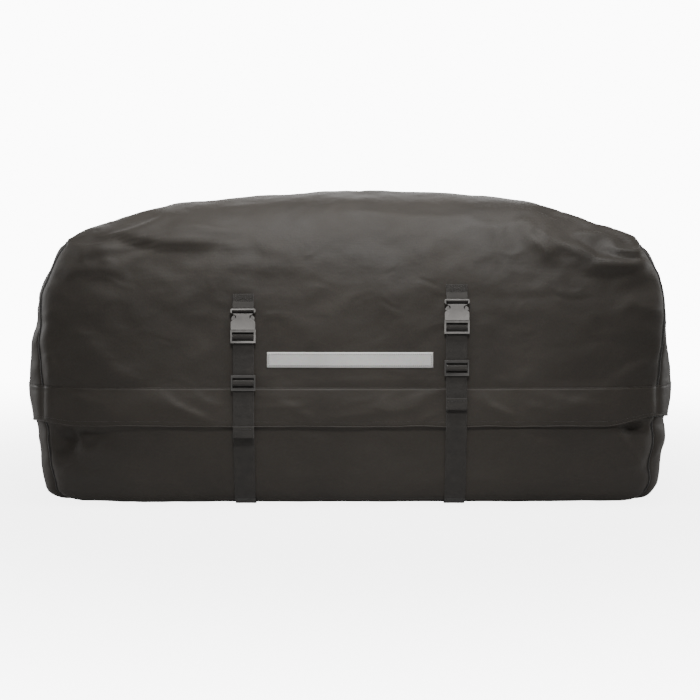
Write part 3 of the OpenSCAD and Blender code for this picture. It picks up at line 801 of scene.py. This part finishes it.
for sy, where, top in ((-1, "front", FRONT_TOP), (1, "back", BACK_TOP)):
    for sx, side in ((-1, "left"), (1, "right")):
        zs = tub_rows(top)
        w = np.full(zs.shape, sy * (1 - SEAM_AT))
        line, inner = (tub_warp(tub_pt(np.full(zs.shape, sx * q), w, zs)) for q in (1.0, 0.97))
        corded_seam(f"tub_cording_{where}_{side}", line, inner, 0.12, "tub")
    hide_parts(f"tub_piping_{where}")

# base: a stiffened panel, faintly quilted, with a rolled edge
ring = []
for q in np.linspace(0, 4, 240, endpoint=False):
    f, t = int(q), (q - int(q)) * 2 - 1
    ring.append([(t, -1.0), (1.0, t), (-t, 1.0), (-1.0, -t)][f])
ring = np.array(ring)
levels = [0.02, 0.2, 0.4, 0.6, 0.8, 0.92, 0.97, 1.0]
verts, faces = [], []
for s in levels:
    pt = plan_pt(ring[:, 0], ring[:, 1], -0.0714, 0.0024)
    pt[:, 0] *= s
    pt[:, 1] = BAG_Y + (pt[:, 1] - BAG_Y) * s
    pt[:, 2] += 0.0004 * np.sin(pt[:, 0] * 90) * np.sin(pt[:, 1] * 90) + (0.0016 if s == 1.0 else 0)
    verts += list(pt)
m = len(ring)
for i in range(len(levels) - 1):
    for j in range(m):
        j2 = (j + 1) % m
        faces.append((i * m + j, (i + 1) * m + j, (i + 1) * m + j2, i * m + j2))
faces.append(tuple(range(m)))
basep = add_obj("base_cloth_panel", verts, faces, MAT_BASE)
clean(basep)
mod = basep.modifiers.new("thick", "SOLIDIFY")
mod.thickness = 0.003
mod.offset = 1.0 if sum(p.normal.z for p in basep.data.polygons) > 0 else -1.0
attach(basep, "tub")
part("base_panel")


# ---- storm flap ----

def u_dirs(y_end, step):
    """Plan directions along the front and both sides, from the left side's rear to the right's."""
    q = y_end / HALF_D
    w_end = q / (1 - abs(q) ** PLAN_N) ** (1 / PLAN_N)

    def dirs(v):
        return np.clip(v, -1, 1), np.where(v < -1, -1 + (-1 - v), np.where(v > 1, -1 + (v - 1), -1.0))

    return dirs(even(lambda v: plan_pt(*dirs(v), 0.0, 0.0), -1 - (1 + w_end), 1 + (1 + w_end), step))


FLAP_FOLDS = folds([
    ([(-350, 222), (-312, 190), (-235, 155)], 16, 6, 3),
    ([(-290, 224), (-262, 200), (-228, 186)], 14, 6, 2.4),
    ([(233, 222), (250, 192), (300, 166)], 15, 6, 2.8),
    ([(330, 214), (400, 196), (470, 190)], 20, 8, 1.8),
    ([(-430, 190), (-490, 202), (-520, 226)], 18, 8, 2.2),
    ([(150, 216), (110, 186), (20, 170)], 20, 8, 1.6),
    ([(-150, 214), (-110, 190), (-60, 160)], 18, 8, 1.4),
])
fx, fy = u_dirs(0.106, 0.005)
fz = np.linspace(0, 1, 17)
flap_h = FLAP_HI - FLAP_LO
path0 = plan_pt(fx, fy, 0.0, 0.0)
run = length_along(path0)


# press: 1 under a strap on the front, 0 away from it
to_strap = np.minimum(np.abs(path0[:, 0] - STRAP_X), np.abs(path0[:, 0] + STRAP_X))
press = smooth01(np.where(path0[:, 1] < BAG_Y - 0.2, np.clip(1.25 - to_strap / 0.055, 0, 1), 0))
wave = np.array([noise.fractal(Vector((s * 6.5, 3.3, 0)), 0.7, 2.0, 3) for s in run])
wave2 = np.array([noise.noise(Vector((s * 17, 9.1, 0))) for s in run])
corner = bell(np.abs(path0[:, 0]), 0.53, 0.045) * (path0[:, 1] < BAG_Y - 0.1)
proud = 0.0030 + 0.0022 * wave + 0.0010 * wave2 + 0.0004 * corner
near = np.exp(-((path0[:, 1] - BAG_Y + HALF_D) / 0.11) ** 2)
lift = 0.003 * wave * (1 - press) + near * (0.017 * rise(path0[:, 0], 0.455, 0.10)
                                            + 0.008 * rise(-path0[:, 0], 0.50, 0.07))
# where the lid's two corner seams run on behind the flap and show through it
seams = [run[np.argmin(np.hypot(path0[:, 0] - q[0], path0[:, 1] - q[1]))]
         for q in plan_pt(np.array([-1.0, 1.0]), np.full(2, -1 + SEAM_AT), 0.0, 0.0)]
to_seam = np.minimum(np.abs(run - seams[0]), np.abs(run - seams[1]))
groove = 0.0020 * bell(to_seam, 0.013, 0.009) - 0.0034 * bell(to_seam, 0, 0.0042)
F = np.zeros((len(fz), len(fx), 3))
for i, q in enumerate(fz):
    z = FLAP_LO + (flap_h - 0.001) * q + lift * (1 - q) ** 2
    ease = (1 - q) ** 1.1
    belly = 0.0022 * np.sin(math.pi * q) * (1 - press)
    g = 0.0006 + ease * np.clip(proud, 0.001, 0.0075) + belly + groove * smooth01(q / 0.15)
    at = plan_pt(fx, fy, 0.0, z)
    inside = (at[:, 1] < BAG_Y - 0.15) * np.sin(math.pi * min(q + 0.08, 1)) ** 0.7
    for line, soft, hard, amp in FLAP_FOLDS:
        g = g + amp * fold(at, line, soft, hard) * inside
    g = g * (1 - press) + press * np.minimum(g, 0.0026 + 0.0019 * (1 - q))
    g = g * (1 - 0.45 * rise(np.abs(path0[:, 0]), 0.48, 0.08))
    F[i] = warp(wall_pt(fx, fy, g, z))
flap = sheet_obj("storm_flap_cloth", F, MAT_FLAP, "lid", thick=0.0016, offset=-1.0)
part("storm_flap")
fN = normals_of(F)

# rolled upper fold, where the flap leaves the lid, and the hem of its lower edge
sweep("storm_flap_fold", F[-1] + fN[-1] * -0.0004, fN[-1], circle(0.0008), MAT_FLAP, "lid")
sweep("storm_flap_edge", F[0] + np.array([0, 0, 0.0004]) - fN[0] * 0.0007, fN[0], circle(0.0015),
      MAT_FLAP, "lid")
stitches("storm_flap_thread", [(F[2] + fN[2] * 0.0001, fN[2])], MAT_THREAD, "lid",
         length=0.0028, pitch=0.0042, w=0.0006, h=0.0003)


# ---- zip ----

def band_grid(x, y, zs, grow):
    return np.stack([wall_pt(x, y, grow, np.full(x.shape, z)) if z > ZIP_Z
                     else plan_pt(x, y, grow, z) for z in zs])


def end_dir(y):
    """The end panels' plan direction that meets the plan's outline at the height y from its middle."""
    q = y / HALF_D
    return q / (1 - q ** PLAN_N) ** (1 / PLAN_N)


tx, ty = u_dirs(HALF_D * END_EDGE / (1 + END_EDGE ** PLAN_N) ** (1 / PLAN_N), 0.006)
cx, cy = u_dirs(ZIP_END, 0.0024)          # one coil turn every 2.4 mm
for where, body, s in (("lower", "tub", -1), ("upper", "lid", 1)):
    z0, z1 = sorted((ZIP_Z + s * 0.0036, ZIP_Z + s * (TAPE_H + 0.002)))
    o = sheet_obj(f"zip_tape_cloth_{where}", band_grid(tx, ty, np.linspace(z0, z1, 5), -0.0008),
                  MAT_TAPE, body, thick=0.001)
    part(f"zip_tape_{where}")
    zc = ZIP_Z + s * 0.0027
    cen = plan_pt(cx, cy, -0.0012, zc)
    outw = unit(plan_pt(cx, cy, 0.01, zc) - plan_pt(cx, cy, 0.0, zc))
    tan = unit(np.gradient(cen, axis=0))
    # half a turn's outline: height, and how far out; the other half mirrors it
    turn = [(-0.0019 * s, 0.6), (-0.0011 * s, 1.0), (0.0016 * s, 0.85), (0.0020 * s, 0.45)]
    turn += [(z, -q) for z, q in turn[::-1]]
    n = len(turn)
    verts = [cen[i] + tan[i] * e + outw[i] * 0.0015 * q + np.array([0, 0, z])
             for i in range(len(cen)) for e in (-0.0007, 0.0007) for z, q in turn]
    faces = []
    for b in range(0, len(verts), 2 * n):
        faces += [(b + j, b + (j + 1) % n, b + n + (j + 1) % n, b + n + j) for j in range(n)]
        faces += [tuple(b + j for j in range(n))[::-1], tuple(b + n + j for j in range(n))]
    o = add_obj(f"zip_coil_turns_{where}", verts, faces, MAT_COIL)
    clean(o)
    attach(o, body)
    part(f"zip_coil_{where}")
    # cloth covers at the rear ends of the zip
    for sx, side in ((-1, "left"), (1, "right")):
        w = np.linspace(end_dir(ZIP_END + 0.0003), END_EDGE + 0.01, 8)[::sx]
        z0, z1 = sorted((ZIP_Z + s * 0.0004, ZIP_Z + s * COIL_H))
        g = band_grid(np.full(w.shape, float(sx)), w, np.linspace(z0, z1, 4), 0.0004)
        sheet_obj(f"zip_end_cover_{where}_{side}", g, MAT_ENDS, body, 0.0018)
    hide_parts(f"zip_ends_{where}")


# a weather guard behind the zip, sewn to the lid
GUARD = ((-0.0030, 0.0190), (-0.0060, 0.0140), (-0.0092, 0.0080), (-0.0092, -0.0020), (-0.0092, -0.0120))
guard = np.stack([plan_pt(tx, ty, g, ZIP_Z + z) for g, z in GUARD])
guard = sheet_obj("zip_weather_guard", guard, MAT_FLAP, "lid", thick=0.0010)


# ---- binding tapes of the fabric hinge ----

N_HINGE = 140
hx = np.linspace(-0.42, 0.42, N_HINGE)[::-1]
out = np.tile(np.array([0.0, 1.0, 0.0]), (N_HINGE, 1))
for where, body, z0, z1 in (("lower", "tub", ZIP_Z - 0.020, ZIP_Z - 0.0008),
                            ("upper", "lid", ZIP_Z + 0.0008, ZIP_Z + 0.020)):
    line = plan_pt(hx / HALF_W, np.ones(N_HINGE), 0.001, (z0 + z1) / 2)
    o = sweep(f"hinge_binding_{where}", line, out, rounded(z1 - z0, 0.0014), MAT_TAPE, body)
    part(f"hinge_tape_{where}")
    stitches(f"hinge_thread_{where}", [(line + np.array([0, 0.0007, dz]), out) for dz in (-0.0066, 0.0066)],
             MAT_THREAD, body)


# the cloth of the hinge itself, built flat and fixed here; on the real bag it folds as the lid opens
axis_y = JOINTS["lid_hinge"]["pos_m"][1]
fold_z = ZIP_Z + np.concatenate([[-0.011, -0.007, -0.004], np.linspace(-0.0024, 0.0024, 9),
                                 [0.004, 0.007, 0.011]])
hinge_cloth = np.stack([np.stack([hx, np.full(N_HINGE, axis_y + 0.0004), np.full(N_HINGE, z)], -1)
                        for z in fold_z])
hinge_cloth = sheet_obj("hinge_fold_cloth", hinge_cloth, MAT_TRIM, None, thick=0.0006)
solid = bpy.data.meshes.new_from_object(hinge_cloth.evaluated_get(bpy.context.evaluated_depsgraph_get()))
hinge_cloth.modifiers.clear()
hinge_cloth.data = solid
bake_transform(hinge_cloth)


# ---- webbing ----

def smooth_path(pts, step, soften):
    """Even points along a line in y and z whose corners are rounded over the length soften."""
    pts = np.asarray(pts, float)
    s = length_along(pts)
    q = np.linspace(0, s[-1], max(3, int(s[-1] / step) + 1))
    p = np.stack([np.interp(q, s, pts[:, k]) for k in range(2)], -1)
    w = max(1, int(soften / step))
    ker = np.hanning(2 * w + 3)[1:-1]
    ker /= ker.sum()
    pad = np.concatenate([2 * p[0] - p[w:0:-1], p, 2 * p[-1] - p[-2:-w - 2:-1]])
    soft = np.stack([np.convolve(pad[:, k], ker, "valid") for k in range(2)], -1)
    soft[0], soft[-1] = p[0], p[-1]
    return soft


def webbing(name, node, yz, x, body, width=WEB_W, mat=MAT_WEB, step=0.0025, soften=0.004, flip=False):
    """A strap along a line in y and z, in place of a CAD node; gives back its middle line."""
    p = smooth_path(yz, step, soften)
    pts = np.stack([np.full(len(p), x), p[:, 0], p[:, 1]], -1)
    ups = np.cross(unit(np.gradient(pts, axis=0)), np.array([1.0, 0, 0])) * (-1 if flip else 1)
    o = sweep(name, pts, ups, rounded(width - 0.0004, WEB_T), mat, body)
    part(node)
    return pts


def copy_cad(node, name, body, mat, width):
    """A finished copy of a CAD fitting: flat faces merged, edges rounded."""
    src = bpy.data.objects[node] if node in bpy.data.objects else frame["nodes"][node]
    me = src.data.copy()
    o = place(name, me)
    bm = bmesh.new()
    bm.from_mesh(me)
    bmesh.ops.remove_doubles(bm, verts=bm.verts, dist=1e-6)
    bmesh.ops.dissolve_limit(bm, angle_limit=math.radians(1.0), verts=bm.verts, edges=bm.edges)
    bm.to_mesh(me)
    bm.free()
    me.materials.clear()
    me.materials.append(mat)
    b = o.modifiers.new("edges", "BEVEL")
    b.width = width
    b.segments = 3
    b.limit_method = "ANGLE"
    b.angle_limit = math.radians(32)
    b.harden_normals = False
    me.polygons.foreach_set("use_smooth", [True] * len(me.polygons))
    w = o.modifiers.new("shade", "WEIGHTED_NORMAL")
    w.keep_sharp = True
    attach(o, body)
    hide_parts(node)
    return o


ADJUSTER_Z = 0.217               # height of the left adjuster's lower end
STRAP_BASE = Vector((0, BAG_Y - HALF_D - 0.005, ADJUSTER_Z))


def strap_pt(u, v):
    """A point of the strap plane: u out of the bag, v up from the left adjuster's lower end."""
    q = STRAP_BASE + OUT * u + UP * v
    return [q.y, q.z]


def arc(at, r, degrees):
    return [(at[0] + r * math.cos(math.radians(d)), at[1] + r * math.sin(math.radians(d))) for d in degrees]


# the strap's way up the back, from its turn under the bag: out from the back and up, in millimetres
BACK_RUN = [[-62, 1], [-51, 2.8], [-41.5, 7.1], [-32.4, 12.8], [-24.6, 23], [-16.2, 53],
            [-9.2, 90], [-4.2, 113], [0.2, 146]]
TOE_Z = 0.0128                   # where the loaded run starts


for sx, side in ((-1, "left"), (1, "right")):
    x = sx * STRAP_X
    # the right buckle sits 17 mm higher, its adjuster 27 mm
    mouth = 0.110 + (0.017 if sx > 0 else 0.0)
    g0 = 0.027 if sx > 0 else 0.0
    tail = 0.062 if sx > 0 else 0.086
    f = BAG_Y - HALF_D
    r = BAG_Y + HALF_D
    body = f"buckle_{side}"
    adj = f"adjuster_{side}"

    webbing(f"strap_under_run_{side}", f"strap_under_{side}",
            [[f + 0.062, 0.00105], [r - 0.062, 0.00105]], x, "tub", mat=MAT_WEB_FLAT, step=0.006)
    webbing(f"strap_toe_turn_{side}", f"strap_toe_{side}",
            [[f + 0.0625, 0.00105], [f + 0.051, 0.0028], [f + 0.0415, 0.0071], [f + 0.0322, 0.0130]],
            x, "tub")
    webbing(f"strap_back_run_{side}", f"strap_back_{side}",
            [[r + a / 1000 + 0.0008, max(b, 1.06) / 1000] for a, b in BACK_RUN], x, "tub", flip=True)
    pts = webbing(f"strap_anchor_patch_{side}", f"strap_anchor_{side}",
                  [[r - 0.0012, 0.113], [r + 0.0028, 0.146]], x, "tub", width=WEB_W - 0.002, flip=True)
    a, b = pts[4], pts[-4]
    hw = WEB_W / 2 - 0.005
    corners = [q + np.array([w, 0.0011, 0]) for q, w in ((a, -hw), (a, hw), (b, hw), (b, -hw))]
    stitches(f"strap_anchor_thread_{side}", boxed_cross(corners, (0.0, 1.0, 0.12)), MAT_THREAD, "tub")

    # loaded run up the front
    front = [[f + 0.0324, TOE_Z], [f + 0.025, 0.0224], [f + 0.0162, 0.053], [f - 0.0058, 0.150],
             strap_pt(0.001, 0.0), strap_pt(0.001, mouth - 0.024)]
    webbing(f"strap_front_run_{side}", f"strap_front_{side}", front, x, "tub")
    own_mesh(bpy.data.objects[f"strap_front_run_{side}"])

    # loop over the plug's bar and the return layer with its free tail
    bar = mouth - 0.012
    mid = 0.006
    path = [(0.001, mouth - 0.0238), (0.001, mouth - 0.018), (0.0026, bar - 0.0014)]
    path += arc((mid, bar), 0.0034, range(170, -51, -20))
    path += [(0.0031, mouth - 0.019), (0.0031, g0 + 0.04), (0.0031, g0 - 0.004)]
    flat = 0.050 if sx < 0 else 0.036            # as far down as the adjuster slides

    def off(d):
        """How far the tail has sprung off the strap behind it, d below the fold."""
        return 0.0014 * float(smooth01((d - flat) / (tail - flat)))

    path += [(0.0031 + off(d), g0 - d) for d in np.linspace(0.2 * tail, tail, 9)]
    webbing(f"strap_loop_run_{side}", f"strap_loop_{side}", [strap_pt(u, v) for u, v in path], x, body,
            step=0.0012, soften=0.0012)
    hem = [(0.0053 + off(d), g0 - d) for d in (tail - 0.0002, tail - 0.011, tail - 0.022)]
    pts = webbing(f"strap_tail_hem_{side}", f"strap_hem_{side}", [strap_pt(u, v) for u, v in hem], x, body)
    outv = np.array(OUT)
    row = np.array([pts[-3] + outv * 0.0011 + np.array([q, 0, 0]) for q in (-hw - 0.002, hw + 0.002)])
    stitches(f"strap_hem_thread_{side}", [(row, np.tile(outv, (2, 1)))], MAT_THREAD, body, pitch=0.0044)

    c = g0 + 0.014
    am = [(0.0044, c - 0.0042), (0.0076, c - 0.0042), (0.0089, c - 0.0028), (0.0089, c + 0.0028),
          (0.0076, c + 0.0042), (0.0044, c + 0.0042)]
    webbing(f"adjuster_web_fold_{side}", f"adjuster_web_{side}", [strap_pt(u, v) for u, v in am], x, adj,
            step=0.0008, soften=0.0012)

    # stub sewn to the lid
    b = strap_pt(mid, mouth + 0.0351)
    rr = 0.0036
    z0, z1 = b[1] + 0.015, b[1] + 0.029

    def shell_y(z):
        return float(wall_pt(np.array([x / HALF_W]), np.array([-1.0]), 0.0, np.array([z]))[0, 1])

    st = [[shell_y(z1) - 0.0015, z1], [shell_y(z0) - 0.0016, z0]]
    st += arc(b, rr, range(0, -181, -20))
    st += [[b[0] - rr + 0.0002, b[1] + 0.0042]]
    st += [[shell_y(z0) - 0.0050, z0], [shell_y(z1) - 0.0042, z1]]
    webbing(f"stub_web_{side}", f"stub_{side}", st, x, "lid", step=0.0012, soften=0.0012)
    y1, y0 = shell_y(z1) - 0.0054, shell_y(z0) - 0.0062
    low, high = (y0, z0 + 0.001), (y1, z1 - 0.002)
    corners = [np.array([x + w, *q]) for w, q in ((-hw, low), (hw, low), (hw, high), (-hw, high))]
    stitches(f"stub_thread_{side}", boxed_cross(corners, (0.0, -1.0, 0.15)), MAT_THREAD, "lid",
             length=0.003, pitch=0.0042)

    for node, bd in ((f"socket_{side}", "lid"), (f"plug_{side}", body), (f"prongs_{side}", body),
                     (f"adjuster_{side}", adj)):
        # sockets, plugs and prongs take the lighter plastic, a painted highlight; the adjusters keep the
        # plastic's own dark tone
        mat, edge = (MAT_ADJUST, 0.0009) if bd == adj else (MAT_PLASTIC_PAINTED_LIGHT, 0.0006)
        o = copy_cad(node, f"{node}_moulded", bd, mat, edge)

for node in ("zip_slider", "zip_pull"):
    o = copy_cad(node, f"{node}_cast", node, MAT_METAL, 0.0004)

# ---- plain reflective strip on the lid's front ----


def lid_at(x, z):
    """The point of the lid's front cloth at a width and height."""
    front = lid_p[:int(len(rows) * 0.3)]
    r = np.interp(z, front[:, front.shape[1] // 2, 2], np.arange(len(front)))
    c = np.interp(x, front[5, :, 0], np.arange(front.shape[1]))
    r0, c0 = int(r), int(c)
    fr, fc = r - r0, c - c0
    return (front[r0, c0] * (1 - fr) * (1 - fc) + front[r0 + 1, c0] * fr * (1 - fc)
            + front[r0, c0 + 1] * (1 - fr) * fc + front[r0 + 1, c0 + 1] * fr * fc)


LEFT, RIGHT, LOW, HIGH = -0.150, 0.150, 0.258, 0.286
INSET = 0.0035                   # of the stitching
grid = np.array([[lid_at(x, z) + np.array([0, -0.0007, 0])
                  for x in np.linspace(LEFT, RIGHT, int((RIGHT - LEFT) / 0.005) + 1)]
                 for z in np.linspace(LOW, HIGH, int((HIGH - LOW) / 0.004) + 1)])
strip = sheet_obj("reflective_strip", grid, MAT_PRINT, "lid", thick=0.0004, offset=1.0)
cx0, cz0 = (LEFT + RIGHT) / 2, (LOW + HIGH) / 2
ring = [(LEFT, LOW), (RIGHT, LOW), (RIGHT, HIGH), (LEFT, HIGH)]
runs = []
for (xa, za), (xb, zb) in zip(ring, ring[1:] + ring[:1]):
    n = max(3, int(math.hypot(xb - xa, zb - za) / 0.02))
    pts = []
    for q in np.linspace(0, 1, n):
        xx, zz = xa + (xb - xa) * q, za + (zb - za) * q
        xx -= math.copysign(INSET, xx - cx0)
        zz -= math.copysign(INSET, zz - cz0)
        pts.append(lid_at(xx, zz) + np.array([0, -0.0012, 0]))
    runs.append((np.array(pts), np.tile(np.array([0.0, -1.0, 0.1]), (n, 1))))
stitches("reflective_strip_thread", runs, MAT_THREAD, "lid", length=0.0026, pitch=0.0038)

# ---- floor, lights, camera ----

SEEN, FILL = 11.0, 0.24          # how bright the backdrop looks, and how bright it lights
fl = add_obj("studio_floor", [(-9, -9, 0), (9, -9, 0), (9, 9, 0), (-9, 9, 0)], [(0, 1, 2, 3)], MAT_BASE)
floor_mat, nt, bsdf = new_mat("pale_floor")
feed(bsdf, {"Base Color": (0.88, 0.88, 0.88, 1), "Roughness": 0.9})
far = add_node(nt, "VectorMath", {0: object_space(nt)}, operation="LENGTH")
ease = add_node(nt, "MapRange", {"Value": far.outputs["Value"], "From Min": 0.55, "From Max": 2.4,
                                 "To Min": 0.42}, interpolation_type="SMOOTHSTEP")
power = mapped(nt, add_node(nt, "LightPath").outputs["Is Camera Ray"], To_Min=FILL, To_Max=SEEN)
glow = add_node(nt, "Emission", {"Strength": power})
mix = add_node(nt, "MixShader", {"Fac": ease.outputs["Result"], 1: bsdf.outputs["BSDF"],
                                 2: glow.outputs["Emission"]})
feed(nt.nodes["Material Output"], {"Surface": mix.outputs["Shader"]})
fl.data.materials.clear()
fl.data.materials.append(floor_mat)

world = bpy.data.worlds.new("studio")
bpy.context.scene.world = world
world.use_nodes = True
nt = world.node_tree
back = feed(nt.nodes["Background"], {"Color": (1, 1, 1, 1), "Strength": FILL})
seen = add_node(nt, "Background", {"Color": (1, 1, 1, 1), "Strength": SEEN})
pick = add_node(nt, "MixShader", {"Fac": add_node(nt, "LightPath").outputs["Is Camera Ray"],
                                  1: back.outputs["Background"], 2: seen.outputs["Background"]})
feed(nt.nodes["World Output"], {"Surface": pick.outputs["Shader"]})


def aimed(o, loc, target):
    o.location = loc
    o.rotation_euler = (Vector(target) - Vector(loc)).to_track_quat("-Z", "Y").to_euler()


def lamp(name, kind, loc, target, power, **props):
    light = bpy.data.lights.new(name, kind)
    light.energy = power
    for k, v in props.items():
        setattr(light, k, v)
    aimed(place(name, light), loc, target)


def area(name, loc, target, size, power, size_y=None):
    lamp(name, "AREA", loc, target, power, shape="RECTANGLE", size=size, size_y=size_y or size)


area("key_top", (0.12, -0.55, 2.2), (0.08, -0.1, 0.4), 1.7, 40, 0.8)
area("side_left", (-2.2, 0.45, 0.75), (-0.58, 0, 0.22), 0.9, 19)
area("side_right", (2.2, 0.45, 0.75), (0.58, 0, 0.22), 0.9, 15)
area("back_wash", (0.0, 2.4, 1.7), (0, 0.2, 0.4), 2.4, 26, 1.2)
lamp("front_spot", "SPOT", (0.05, -1.9, 1.75), (0.02, -0.24, 0.43), 118,
     spot_size=math.radians(37), spot_blend=1.0, shadow_soft_size=0.22)

cam = bpy.data.cameras.new("cam")
cam.sensor_width = 36
cam.lens = 86.0
cam.dof.use_dof = False
FRONT = BAG_Y - HALF_D
bpy.context.scene.camera = place("cam", cam)
aimed(bpy.context.scene.camera, (0.0, FRONT - 3.0, 0.55), (0.0, FRONT, 0.2900))

bpy.context.view_layer.update()
